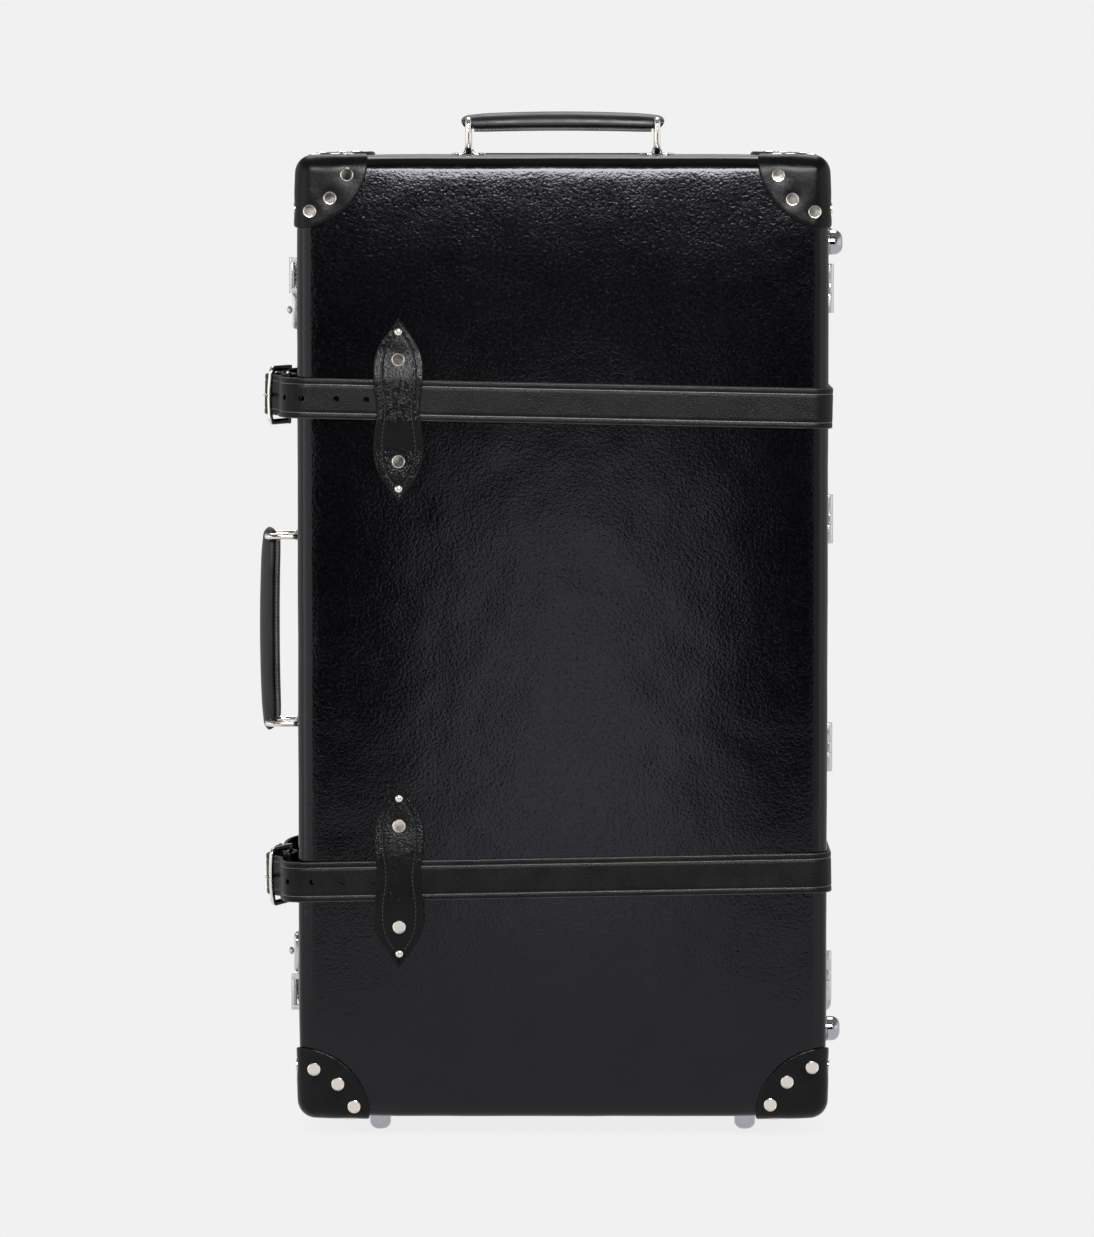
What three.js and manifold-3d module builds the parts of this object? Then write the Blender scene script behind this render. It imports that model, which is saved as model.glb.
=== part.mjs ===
// A tall fibreboard suitcase with leather corner caps, two buckled straps, two ring handles,
// latches, hinges, dome feet, wheels and a pull handle. Millimetres, +Z up.
//
// The case stands on its short end. +X is its hinge side, -Y its front, which is the lid.
// While it is built, x = 0 is the middle, y = 0 the lid's front face and z = 0 the body's underside.
// The finished group is moved so that the origin is the bottom centre of the whole case.

import * as THREE from "three";
import { mergeVertices } from "three/addons/utils/BufferGeometryUtils.js";
import Module from "manifold-3d";

// Body
const bodyWidth = 419;
const bodyHeight = 762;
const bodyDepth = 230;
const lidDepth = 70;
const wall = 3;
const edgeRadius = 12;
const cornerRadius = 14;
const seamGap = 0.6;
const fit = 0.3;
const overrun = 5;

// Frame lip of the base, which centres the lid
const lipReach = 7;
const lipSeat = 24;
const lipThickness = 4;
const lipClearance = 0.8;

// Leather corner caps
const capReach = 56.5;
const capThickness = 3.2;

// Dome feet
const sideFootDiameter = 19.5;
const sideFootHeight = 11.5;
const sideFootFlat = 11;
const sideFootSetback = 30;
const sideFootEndInset = 68;
const bottomFootDiameter = 17;
const bottomFootHeight = 13.3;
const bottomFootFlat = 5;
const bottomFootSetback = 35;
const bottomFootEndInset = 64;

// Straps
const strapWidth = 32;
const strapThickness = 3;
const strapGap = 0.6;
const strapSplit = 0.6;
const upperStrapInset = 194.05;
const lowerStrapInset = 192.5;
const upperStrapTilt = 1.15;
const lowerStrapTilt = -1.05;
const strapTurnInset = 6;
const strapBow = 15.5;
const strapTailEnd = 152;
const strapLayerGap = 1;
const strapRearReturn = 10;
const strapEyeWall = 2;
const strapHoleDiameter = 4.4;
const strapHolePitch = 23.5;
const strapHoleCount = 3;

// Chapes, the leaf-shaped loops over the straps
const chapeLength = 146;
const chapeBelly = 39.5;
const chapeBellyRise = 31;
const chapeWaist = 34;
const chapeThickness = 2.5;
const chapeSideInset = 80.1;
const upperChapeShift = -8;
const lowerChapeShift = 3.6;
const chapeStrapRoom = 0.9;
const chapeRamp = 15;

// Buckles
const buckleLength = 35;
const buckleWidth = 47;
const buckleBar = 4.6;
const buckleThickness = 3.6;
const buckleCorner = 5;
const buckleSlant = 24;
const bucklePlace = 52;
const prongDiameter = 3.4;
const prongEye = 3;
const prongSlotWidth = 5;
const prongSlotReach = 21;
const keeperWidth = 12;
const keeperWall = 2.2;
const keeperPlace = 92;

// Hinges
const hingeHeight = 39;
const hingeLobe = 15;
const hingeLeafLength = 15;
const hingeLeafThickness = 1.2;
const hingeKnuckleRadius = 2.9;
const hingePinRadius = 1.3;
const hingePinClearance = 0.15;
const hingeAxisHeight = 3.4;
const hingeLobeGap = 0.4;
const hingeEndInset = 105.5;
const hingeShares = [1, 0.332, -0.332, -1];

// Latches
const latchEndInset = 110.2;
const latchPlateLength = 56;
const latchPlateWidth = 24;
const latchPlateSetback = 2.5;
const latchKnobHalf = 31.3;
const latchKnobHeight = 6.2;
const latchCatchHeight = 3.4;
const latchFloor = 1.2;
const latchKnobShift = 13;
const latchKnobDiameter = 6.4;
const latchStemDiameter = 3;
const latchKnobTop = 10.8;
const latchTravel = 6;
const latchSlotClearance = 0.4;
const haspWidth = 20;
const haspLength = 30;
const haspThickness = 1.6;
const haspHeight = 7.6;
const haspPinRadius = 1.2;
const haspPinClearance = 0.15;
const haspKnuckleRadius = 2.3;
const haspNoseDrop = 3.2;
const haspNoseLength = 8;
const haspPlateLength = 18;
const haspLugWidth = 4;

// Ring handles
const handleRingSpacing = 151;
const ringWire = 5;
const ringWidth = 46;
const ringCorner = 6;
const ringAxisHeight = 3.1;
const ringRise = 24.8;
const gripTop = 34.9;
const gripHeight = 16.4;
const gripWidth = 30;
const gripEndRadius = 5.8;
const gripShoulder = 13;
const gripRound = 3;
const gripBoreClearance = 0.4;
const handleSetback = 118;
const saddleWidth = 24;
const saddleWall = 1;
const saddleFoot = 14;
const saddleFootHeight = 1.2;
const saddleClearance = 0.5;

// Wheels and their housings
const wheelDiameter = 50;
const wheelWidth = 22;
const wheelRound = 4;
const wheelProud = 3;
const wheelSideInset = 76.5;
const wheelAxleRadius = 3;
const wheelAxleClearance = 0.1;
const wheelSideRoom = 1.5;
const wheelTopRoom = 3;
const housingWall = 2.5;
const housingProud = 1.5;
const housingRound = 6;

// Pull handle
const pullCupLength = 164;
const pullCupWidth = 34;
const pullCupDepth = 32;
const pullCupWall = 2.2;
const pullCupCorner = 6;
const pullCupInset = 13;
const pullRimProud = 0.8;
const pullRimOverlap = 2;
const pullTubeSpacing = 120;
const pullTubeWidth = 18;
const pullTubeThickness = 13;
const pullTubeWall = 1.3;
const pullTubeCorner = 4;
const pullOuterLength = 470;
const pullInnerLength = 430;
const pullTubeFit = 0.35;
const pullGripLength = 146;
const pullGripWidth = 17;
const pullGripHeight = 20;
const pullGripRound = 3;
const pullFootHeight = 14;
const pullFootMargin = 10;

// Facets
const bodyArc = 2;
const bodyRound = 3;
const smallArc = 2;
const coarseArc = 1;
const roundArc = 3;
const eyeArc = 8;
const barSides = 10;
const knobSides = 12;
const domeSides = 14;
const wheelSides = 20;
const ballSides = 20;

// Finishes
const paint = (color, roughness, metalness) =>
  new THREE.MeshStandardMaterial({ color, roughness, metalness });
const finishes = {
  fibre: paint("#121214", 0.42, 0),
  leather: paint("#0e0e10", 0.38, 0),
  strap: paint("#262422", 0.5, 0),
  nickel: paint("#c9c6bf", 0.14, 1),
  tread: paint("#1a1a1b", 0.8, 0),
  moulded: paint("#161617", 0.6, 0),
  tube: paint("#a9abae", 0.28, 1),
};

const wasm = await Module();
wasm.setup();

const degrees = THREE.MathUtils.degToRad;
const X = new THREE.Vector3(1, 0, 0);
const Y = new THREE.Vector3(0, 1, 0);
const Z = new THREE.Vector3(0, 0, 1);

// Places that follow the body's size
const halfWidth = bodyWidth / 2;
const middle = bodyHeight / 2;
const sideFootSpacing = bodyHeight - 2 * sideFootEndInset;
const bottomFootSpacing = bodyWidth - 2 * bottomFootEndInset;
const upperStrapRise = middle - upperStrapInset;
const lowerStrapRise = lowerStrapInset - middle;
const chapeOffset = chapeSideInset - halfWidth;
const hingeRises = hingeShares.map((share) => share * (middle - hingeEndInset));
const latchRise = middle - latchEndInset;
const wheelPlace = halfWidth - wheelSideInset;

// A closed geometry as a solid, and back
function solid(geometry) {
  const bare = geometry.clone();
  bare.deleteAttribute("normal");
  bare.deleteAttribute("uv");
  const merged = mergeVertices(bare);
  return new wasm.Manifold(
    new wasm.Mesh({
      numProp: 3,
      vertProperties: merged.attributes.position.array,
      triVerts: new Uint32Array(merged.index.array),
    }),
  );
}

function geometryOf(manifold) {
  const mesh = manifold.getMesh();
  const geometry = new THREE.BufferGeometry();
  geometry.setAttribute("position", new THREE.BufferAttribute(mesh.vertProperties, mesh.numProp));
  geometry.setIndex(new THREE.BufferAttribute(mesh.triVerts, 1));
  const flat = geometry.toNonIndexed();
  flat.computeVertexNormals();
  return flat;
}

// Shapes
function roundedRectangle(width, height, radius, ShapeClass = THREE.Shape) {
  const x = width / 2;
  const y = height / 2;
  const shape = new ShapeClass();
  shape.moveTo(-x + radius, -y);
  shape.lineTo(x - radius, -y);
  shape.absarc(x - radius, -y + radius, radius, -Math.PI / 2, 0);
  shape.lineTo(x, y - radius);
  shape.absarc(x - radius, y - radius, radius, 0, Math.PI / 2);
  shape.lineTo(-x + radius, y);
  shape.absarc(-x + radius, y - radius, radius, Math.PI / 2, Math.PI);
  shape.lineTo(-x, -y + radius);
  shape.absarc(-x + radius, -y + radius, radius, Math.PI, 1.5 * Math.PI);
  return shape;
}

function circle(x, y, radius, ShapeClass = THREE.Shape) {
  const shape = new ShapeClass();
  shape.absarc(x, y, radius, 0, 2 * Math.PI);
  return shape;
}

// A shape extruded to a total thickness along +Z, its edges rounded inside that thickness
function plate(shape, thickness, rounding = 0, steps = 2, curveSegments = smallArc) {
  const geometry = new THREE.ExtrudeGeometry(shape, {
    depth: thickness - 2 * rounding,
    bevelEnabled: rounding > 0,
    bevelSize: rounding,
    bevelThickness: rounding,
    bevelOffset: -rounding,
    bevelSegments: steps,
    curveSegments,
  });
  return geometry.translate(0, 0, rounding);
}

function box(x0, x1, y0, y1, z0, z1) {
  return new THREE.BoxGeometry(x1 - x0, y1 - y0, z1 - z0).translate(
    (x0 + x1) / 2,
    (y0 + y1) / 2,
    (z0 + z1) / 2,
  );
}

// A round bar with its middle at the origin, along the named axis
function bar(radius, length, axis, sides = barSides) {
  const geometry = new THREE.CylinderGeometry(radius, radius, length, sides);
  if (axis === X) geometry.rotateZ(Math.PI / 2);
  if (axis === Z) geometry.rotateX(Math.PI / 2);
  return geometry;
}

// Frames on the case's faces: local z points out of the face
function place(group, xAxis, yAxis, zAxis, position) {
  const matrix = new THREE.Matrix4().makeBasis(xAxis, yAxis, zAxis).setPosition(position);
  matrix.decompose(group.position, group.quaternion, group.scale);
  return group;
}

const onLeft = (y, z) =>
  place(new THREE.Group(), Z, Y, X.clone().negate(), new THREE.Vector3(-halfWidth, y, z));
const onRight = (y, z) =>
  place(new THREE.Group(), Z.clone().negate(), Y, X, new THREE.Vector3(halfWidth, y, z));
const onFront = (x, z) =>
  place(new THREE.Group(), X, Z, Y.clone().negate(), new THREE.Vector3(x, 0, z));
const onTop = (x, y) => place(new THREE.Group(), X, Y, Z, new THREE.Vector3(x, y, bodyHeight));
const underside = (x, y) =>
  place(new THREE.Group(), X, Y.clone().negate(), Z.clone().negate(), new THREE.Vector3(x, y, 0));

const suitcase = new THREE.Group();

function add(parent, name, geometry, finish) {
  const mesh = new THREE.Mesh(geometry, finish);
  mesh.name = name;
  parent.add(mesh);
  return mesh;
}

// The body's rounded block, larger or smaller all round by an offset
function bodyBlock(offset, curveSegments = bodyArc, bevelSteps = bodyRound) {
  const radius = edgeRadius + offset;
  const shape = roundedRectangle(
    bodyWidth + 2 * offset,
    bodyHeight + 2 * offset,
    Math.max(cornerRadius, edgeRadius + fit) + offset,
  );
  return plate(shape, bodyDepth + 2 * offset, radius, bevelSteps, curveSegments)
    .translate(0, 0, -bodyDepth - offset)
    .rotateX(Math.PI / 2)
    .translate(0, 0, middle);
}

const slice = (y0, y1) =>
  solid(
    box(
      -bodyWidth,
      bodyWidth,
      y0,
      y1,
      -bodyHeight,
      2 * bodyHeight,
    ),
  );

const outerBody = solid(bodyBlock(0));
const innerBody = solid(bodyBlock(-wall));
const shellWhole = outerBody.subtract(innerBody);
const lidEnd = lidDepth - seamGap / 2;
const baseStart = lidDepth + seamGap / 2;

// Wheel housing in the frame of the case, for the wheel at x
const wheelRadius = wheelDiameter / 2;
const wheelY = bodyDepth + wheelProud - wheelRadius;
const wheelZ = wheelRadius - bottomFootHeight;
const wellHalf = wheelWidth / 2 + wheelSideRoom;
const housingHalf = wellHalf + housingWall;
const housingReach = wheelRadius + wheelTopRoom + housingWall;

function housingBlock(x, margin) {
  const depth = housingReach + bodyDepth + housingProud - wheelY + 2 * margin;
  const height = housingReach + wheelZ + housingProud + 2 * margin;
  const outline = roundedRectangle(depth, height, housingRound + margin);
  return plate(outline, 2 * (housingHalf + margin), 0)
    .rotateX(Math.PI / 2)
    .rotateZ(Math.PI / 2)
    .translate(
      x - housingHalf - margin,
      wheelY - housingReach - margin + depth / 2,
      -housingProud - margin + height / 2,
    );
}

// Pull handle cup in the frame of the case
const pullY = bodyDepth - pullCupInset - pullCupWidth / 2;

function cupBlock(margin, depth) {
  const outline = roundedRectangle(
    pullCupLength + 2 * margin,
    pullCupWidth + 2 * margin,
    pullCupCorner + margin,
  );
  return plate(outline, depth + overrun, 0).translate(0, pullY, bodyHeight - depth);
}

// Trays
function lipRing(margin, thickness, y0, y1) {
  const inset = 2 * (wall + margin);
  const radius = cornerRadius - wall - margin;
  const ring = roundedRectangle(bodyWidth - inset, bodyHeight - inset, radius);
  const hole = roundedRectangle(
    bodyWidth - inset - 2 * thickness,
    bodyHeight - inset - 2 * thickness,
    radius - thickness,
    THREE.Path,
  );
  ring.holes.push(hole);
  return solid(
    plate(ring, y1 - y0, 0)
      .rotateX(Math.PI / 2)
      .translate(0, y1, middle),
  );
}

add(
  suitcase,
  "lid_shell",
  geometryOf(shellWhole.intersect(slice(-overrun, lidEnd))),
  finishes.fibre,
);

// The lip is glued to the base tray and reaches a little way into the lid
const lipBand = lipRing(lipClearance, lipThickness, lidDepth - lipReach, lidDepth + lipSeat);
const lipGlue = lipRing(0, lipThickness, baseStart + fit, lidDepth + lipSeat);
let baseTray = shellWhole
  .intersect(slice(baseStart, bodyDepth + overrun))
  .add(lipBand)
  .add(lipGlue)
  .subtract(solid(cupBlock(fit, wall + overrun)));
for (const side of [-1, 1])
  baseTray = baseTray.subtract(solid(housingBlock(side * wheelPlace, fit)));
add(suitcase, "base_shell", geometryOf(baseTray), finishes.fibre);

// Corner caps: the skin outside the body, inside a ball round the body's corner
const capSkin = solid(bodyBlock(capThickness)).subtract(solid(bodyBlock(fit)));
for (const [half, y] of [["lid", 0], ["base", bodyDepth]])
  for (const [level, z] of [["bottom", 0], ["top", bodyHeight]])
    for (const [hand, x] of [["left", -halfWidth], ["right", halfWidth]]) {
      const ball = new THREE.SphereGeometry(capReach, ballSides, ballSides / 2).rotateX(Math.PI / 2);
      const cap = capSkin.intersect(solid(ball.translate(x, y, z)));
      add(suitcase, `${half}_corner_${level}_${hand}`, geometryOf(cap), finishes.leather);
    }

// Dome feet
function dome(diameter, height, flat) {
  const radius = diameter / 2;
  const shoulder = height / 2;
  const profile = new THREE.Path();
  profile.moveTo(0, fit);
  profile.lineTo(radius, fit);
  profile.lineTo(radius, height - shoulder);
  profile.quadraticCurveTo(radius, height, flat / 2, height);
  profile.lineTo(0, height);
  return new THREE.LatheGeometry(profile.getPoints(roundArc), domeSides).rotateX(Math.PI / 2);
}

for (const [level, sign] of [["upper", 1], ["lower", -1]])
  for (const [half, y] of [
    ["lid", sideFootSetback],
    ["base", bodyDepth - sideFootSetback],
  ]) {
    const spot = onRight(y, middle + (sign * sideFootSpacing) / 2);
    const foot = dome(sideFootDiameter, sideFootHeight, sideFootFlat);
    add(spot, `${half}_side_foot_${level}`, foot, finishes.nickel);
    suitcase.add(spot);
  }

for (const [hand, sign] of [["left", -1], ["right", 1]]) {
  const spot = underside((sign * bottomFootSpacing) / 2, bottomFootSetback);
  const foot = dome(bottomFootDiameter, bottomFootHeight, bottomFootFlat);
  add(spot, `bottom_foot_${hand}`, foot, finishes.nickel);
  suitcase.add(spot);
}

// Hinges: local x runs along the pin, local y across the seam
function halfLeaf(sign) {
  const start = hingeKnuckleRadius + fit;
  const leaf = roundedRectangle(hingeHeight, hingeLeafLength, hingeLeafLength / 4);
  return solid(
    plate(leaf, hingeLeafThickness, 0, 1, coarseArc)
      .translate(0, sign * (start + hingeLeafLength / 2), fit),
  );
}

// One knuckle with the web that joins it to its leaf
function knuckle(center, length, sign, bore) {
  const reach = hingeKnuckleRadius + fit + hingeLeafLength / 4;
  const web = box(
    center - length / 2,
    center + length / 2,
    Math.min(0, sign * reach),
    Math.max(0, sign * reach),
    fit,
    fit + hingeLeafThickness,
  );
  const round = bar(hingeKnuckleRadius, length, X).translate(center, 0, hingeAxisHeight);
  const body = solid(round).add(
    solid(web).add(
      solid(
        box(
          center - length / 2,
          center + length / 2,
          Math.min(0, sign * hingeKnuckleRadius),
          Math.max(0, sign * hingeKnuckleRadius),
          fit,
          hingeAxisHeight,
        ),
      ),
    ),
  );
  if (!bore) return body;
  const hole = bar(hingePinRadius + hingePinClearance, length + overrun, X);
  return body.subtract(solid(hole.translate(center, 0, hingeAxisHeight)));
}

hingeRises.forEach((rise, index) => {
  const spot = onRight(lidDepth, middle + rise);
  const outer = (hingeHeight - hingeLobe) / 2;
  const inner = hingeHeight - 2 * hingeLobe - 2 * hingeLobeGap;
  const lidLeaf = halfLeaf(-1)
    .add(knuckle(-outer, hingeLobe, -1, true))
    .add(knuckle(outer, hingeLobe, -1, true));
  const pin = bar(hingePinRadius, hingeHeight, X).translate(0, 0, hingeAxisHeight);
  const baseLeaf = halfLeaf(1).add(knuckle(0, inner, 1, false)).add(solid(pin));
  add(spot, `hinge_${index + 1}_lid_leaf`, geometryOf(lidLeaf), finishes.nickel);
  add(spot, `hinge_${index + 1}_base_leaf`, geometryOf(baseLeaf), finishes.nickel);
  suitcase.add(spot);
});

// Latches: local x runs up the side, local y from front to rear, local z outward
function latch(name, sign) {
  const spot = onLeft(lidDepth, middle + sign * latchRise);
  const plateStart = latchPlateSetback;
  const plateY = plateStart + latchPlateWidth / 2;
  const catchHalf = latchPlateLength - latchKnobHalf;
  const catchX = (sign * (latchPlateLength - catchHalf)) / 2;
  const knobHalfX = (-sign * (latchPlateLength - latchKnobHalf)) / 2;

  const base = roundedRectangle(latchPlateLength, latchPlateWidth, latchPlateWidth / 4);
  const low = plate(base, latchCatchHeight - fit, 0, 1, coarseArc).translate(0, plateY, fit);
  const high = roundedRectangle(latchKnobHalf, latchPlateWidth, latchPlateWidth / 4);
  const rounding = latchKnobHeight / 4;
  const raised = plate(high, latchKnobHeight - fit, rounding, 1).translate(knobHalfX, plateY, fit);
  // The catch is open toward the lid, so the hasp's nose can leave it as the lid swings
  const pocket = box(
    catchX - haspWidth / 2 - fit,
    catchX + haspWidth / 2 + fit,
    -overrun,
    plateStart + haspNoseLength + fit,
    latchFloor,
    latchKnobHeight + overrun,
  );
  const slot = roundedRectangle(
    latchTravel + latchStemDiameter + 2 * latchSlotClearance,
    latchStemDiameter + 2 * latchSlotClearance,
    latchStemDiameter / 2 + latchSlotClearance,
  );
  const knobX = -sign * latchKnobShift;
  const slotCut = plate(slot, latchKnobHeight, 0)
    .translate(knobX - (sign * latchTravel) / 2, plateY, latchFloor);
  const plateSolid = solid(low)
    .add(solid(raised))
    .subtract(solid(pocket))
    .subtract(solid(slotCut));
  add(spot, `${name}_latch_plate`, geometryOf(plateSolid), finishes.nickel);

  const stemLength = latchKnobHeight + 2 * fit - latchFloor;
  const stem = bar(latchStemDiameter / 2, stemLength, Z)
    .translate(0, 0, latchFloor + fit + stemLength / 2);
  const headHeight = latchKnobTop - latchKnobHeight - 2 * fit;
  const ball = new THREE.SphereGeometry(latchKnobDiameter / 2, knobSides, knobSides / 2)
    .rotateX(Math.PI / 2)
    .scale(1, 1, headHeight / latchKnobDiameter)
    .translate(0, 0, latchKnobTop - headHeight / 2);
  const knob = add(spot, `${name}_latch_knob`, geometryOf(solid(stem).add(solid(ball))), finishes.nickel);
  knob.position.set(knobX, plateY, 0);

  // The hasp turns on lugs of its plate on the lid
  const pinY = latchPlateSetback + haspNoseLength - haspLength;
  const pinZ = haspHeight - haspKnuckleRadius;
  const arm = box(
    -haspWidth / 2,
    haspWidth / 2,
    pinY,
    latchPlateSetback + haspNoseLength,
    haspHeight - haspThickness,
    haspHeight,
  );
  const nose = box(
    -haspWidth / 2,
    haspWidth / 2,
    latchPlateSetback + haspNoseLength - haspThickness,
    latchPlateSetback + haspNoseLength,
    haspHeight - haspThickness - haspNoseDrop,
    haspHeight,
  );
  const haspKnuckle = bar(haspKnuckleRadius, haspWidth, X).translate(0, pinY, pinZ);
  const bore = bar(haspPinRadius + haspPinClearance, haspWidth + overrun, X)
    .translate(0, pinY, pinZ);
  const hasp = solid(arm).add(solid(nose)).add(solid(haspKnuckle)).subtract(solid(bore));
  add(spot, `${name}_hasp`, geometryOf(hasp), finishes.nickel).position.set(catchX, 0, 0);

  const outline = roundedRectangle(
    haspWidth + 2 * (haspLugWidth + fit),
    haspPlateLength,
    haspPlateLength / 5,
  );
  const foot = plate(outline, latchFloor - fit, 0).translate(0, pinY, fit);
  let lugs = solid(foot);
  for (const end of [-1, 1]) {
    const lugX = end * (haspWidth / 2 + fit + haspLugWidth / 2);
    const lug = bar(haspKnuckleRadius, haspLugWidth, X).translate(lugX, pinY, pinZ);
    const post = box(
      lugX - haspLugWidth / 2,
      lugX + haspLugWidth / 2,
      pinY - haspKnuckleRadius,
      pinY + haspKnuckleRadius,
      fit,
      pinZ,
    );
    lugs = lugs.add(solid(lug)).add(solid(post));
  }
  const pin = bar(haspPinRadius, haspWidth + 2 * (fit + haspLugWidth), X).translate(0, pinY, pinZ);
  const plateMesh = add(
    spot,
    `${name}_hasp_plate`,
    geometryOf(lugs.add(solid(pin))),
    finishes.nickel,
  );
  plateMesh.position.set(catchX, 0, 0);
  suitcase.add(spot);
}

latch("upper", 1);
latch("lower", -1);

// A ribbon of leather on edge: a path in plan, with a thickness, raised to a width
function outlineOf(path, thickness, divisions) {
  const points = path.getPoints(divisions);
  const sides = [[], []];
  points.forEach((point, i) => {
    const before = points[Math.max(0, i - 1)];
    const after = points[Math.min(points.length - 1, i + 1)];
    const along = after.clone().sub(before).normalize();
    const across = new THREE.Vector2(-along.y, along.x).multiplyScalar(thickness / 2);
    sides[0].push(point.clone().add(across));
    sides[1].push(point.clone().sub(across));
  });
  return new THREE.Shape(sides[1].concat(sides[0].reverse()));
}

function ribbon(path, thickness, width, divisions = bodyArc) {
  return solid(plate(outlineOf(path, thickness, divisions), width, 0).translate(0, 0, -width / 2));
}

// Straps run at this distance from the body's surface
const strapLine = strapGap + strapThickness / 2;
const strapTurnX = -halfWidth + strapTurnInset;
const sideLine = halfWidth + strapLine;
const bend = edgeRadius + strapLine;
const rearStop = bodyDepth - edgeRadius - strapRearReturn;

function frontRun() {
  const path = new THREE.Path();
  path.moveTo(sideLine, lidDepth - strapSplit);
  path.lineTo(sideLine, edgeRadius);
  path.absarc(halfWidth - edgeRadius, edgeRadius, bend, 0, -Math.PI / 2, true);
  path.lineTo(strapTurnX + fit, -strapLine);
  return path;
}

function rearRun() {
  const path = new THREE.Path();
  path.moveTo(sideLine, lidDepth + strapSplit);
  path.lineTo(sideLine, bodyDepth - edgeRadius);
  path.absarc(halfWidth - edgeRadius, bodyDepth - edgeRadius, bend, 0, Math.PI / 2);
  path.lineTo(edgeRadius - halfWidth, bodyDepth + strapLine);
  path.absarc(edgeRadius - halfWidth, bodyDepth - edgeRadius, bend, Math.PI / 2, Math.PI);
  path.lineTo(-sideLine, rearStop + strapSplit);
  return path;
}

// The buckled side run bows away from the case: its tail lies over the piece from the rear
const bowX = -halfWidth - strapBow;
const bowLead = bucklePlace - buckleLength;

function tailRun() {
  const path = new THREE.Path();
  const under = strapTurnX - fit;
  path.moveTo(under, -strapLine);
  path.bezierCurveTo(
    -halfWidth - strapBow / 2,
    -strapLine,
    bowX,
    bowLead / 2,
    bowX,
    bucklePlace,
  );
  path.bezierCurveTo(
    bowX,
    bucklePlace + buckleLength / 2,
    bowX - strapThickness - strapLayerGap,
    keeperPlace - keeperWidth,
    bowX - strapThickness - strapLayerGap,
    keeperPlace,
  );
  path.lineTo(bowX - strapThickness - strapLayerGap, strapTailEnd);
  return path;
}

const barSpan = (buckleLength - buckleBar) / 2;
const slant = degrees(buckleSlant);
const heelX = bowX + barSpan * Math.sin(slant);
const heelY = bucklePlace + barSpan * Math.cos(slant);
const eyeBore = buckleThickness / 2 + fit;
const eyeOutside = eyeBore + strapEyeWall;

function underRun() {
  const path = new THREE.Path();
  path.moveTo(heelX, heelY + eyeOutside - strapEyeWall / 2);
  path.bezierCurveTo(heelX, keeperPlace - keeperWidth, bowX, keeperPlace - keeperWidth, bowX, keeperPlace);
  path.lineTo(bowX, strapTailEnd - keeperWidth);
  path.bezierCurveTo(bowX, rearStop - bend, -sideLine, rearStop - bend, -sideLine, rearStop);
  return path;
}

function sideStrap() {
  const tail = ribbon(tailRun(), strapThickness, strapWidth, 2 * bodyArc);
  const point = new THREE.Shape();
  const tipX = bowX - strapThickness - strapLayerGap - strapThickness / 2;
  const tipStart = strapTailEnd - strapWidth / 2;
  point.moveTo(tipStart, -strapWidth);
  point.lineTo(strapTailEnd + overrun, -strapWidth);
  point.lineTo(strapTailEnd + overrun, strapWidth);
  point.lineTo(tipStart, strapWidth);
  point.lineTo(tipStart, strapWidth / 2);
  point.absarc(tipStart, 0, strapWidth / 2, Math.PI / 2, -Math.PI / 2, true);
  const tipCut = plate(point, strapThickness + 2 * fit, 0)
    .rotateX(Math.PI / 2)
    .rotateZ(Math.PI / 2)
    .translate(tipX - fit, 0, 0);

  // The eye round the buckle's heel bar, with a gap in its middle for the prong
  const eyeRing = circle(0, 0, eyeOutside);
  eyeRing.holes.push(circle(0, 0, eyeBore, THREE.Path));
  const eye = plate(eyeRing, strapWidth, 0, 1, eyeArc).translate(heelX, heelY, -strapWidth / 2);
  const eyeGap = box(
    heelX - eyeOutside - fit,
    heelX + eyeOutside + fit,
    heelY - eyeOutside - fit,
    heelY + eyeOutside + prongEye / 2,
    -prongSlotWidth / 2 - fit,
    prongSlotWidth / 2 + fit,
  );
  const prongSlot = box(
    bowX - strapThickness - 2 * strapLayerGap,
    bowX + strapThickness,
    heelY - prongSlotReach,
    heelY + prongEye + prongDiameter / 2,
    -prongSlotWidth / 2,
    prongSlotWidth / 2,
  );

  // The keeper is a leather loop round both layers
  const keeperDeep = 2 * strapThickness + strapLayerGap + 2 * keeperWall;
  const keeperRing = roundedRectangle(keeperDeep, strapWidth + 2 * (keeperWall + fit), keeperWall);
  const keeperHole = roundedRectangle(
    keeperDeep - 2 * keeperWall - fit,
    strapWidth + 2 * fit,
    fit,
    THREE.Path,
  );
  keeperRing.holes.push(keeperHole);
  const keeper = plate(keeperRing, keeperWidth, 0)
    .rotateX(Math.PI / 2)
    .translate(bowX - (strapThickness + strapLayerGap) / 2, keeperPlace + keeperWidth, 0);
  const stitchBlock = box(
    bowX - strapThickness - strapLayerGap,
    bowX,
    keeperPlace + fit,
    keeperPlace + keeperWidth - fit,
    -strapWidth / 4,
    strapWidth / 4,
  );
  const under = ribbon(underRun(), strapThickness, strapWidth, roundArc)
    .add(solid(eye))
    .subtract(solid(eyeGap));
  let side = tail
    .subtract(solid(tipCut))
    .subtract(solid(prongSlot))
    .add(under)
    .add(solid(keeper))
    .add(solid(stitchBlock));
  return side;
}

// Punched holes in the front run, before the chape
function punched(strap) {
  let left = strap;
  for (let i = 0; i < strapHoleCount; i += 1) {
    const hole = bar(strapHoleDiameter / 2, strapThickness + overrun, Y);
    const x = strapTurnX + strapTurnInset + i * strapHolePitch;
    left = left.subtract(solid(hole.translate(x, -strapLine, 0)));
  }
  return left;
}

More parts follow.
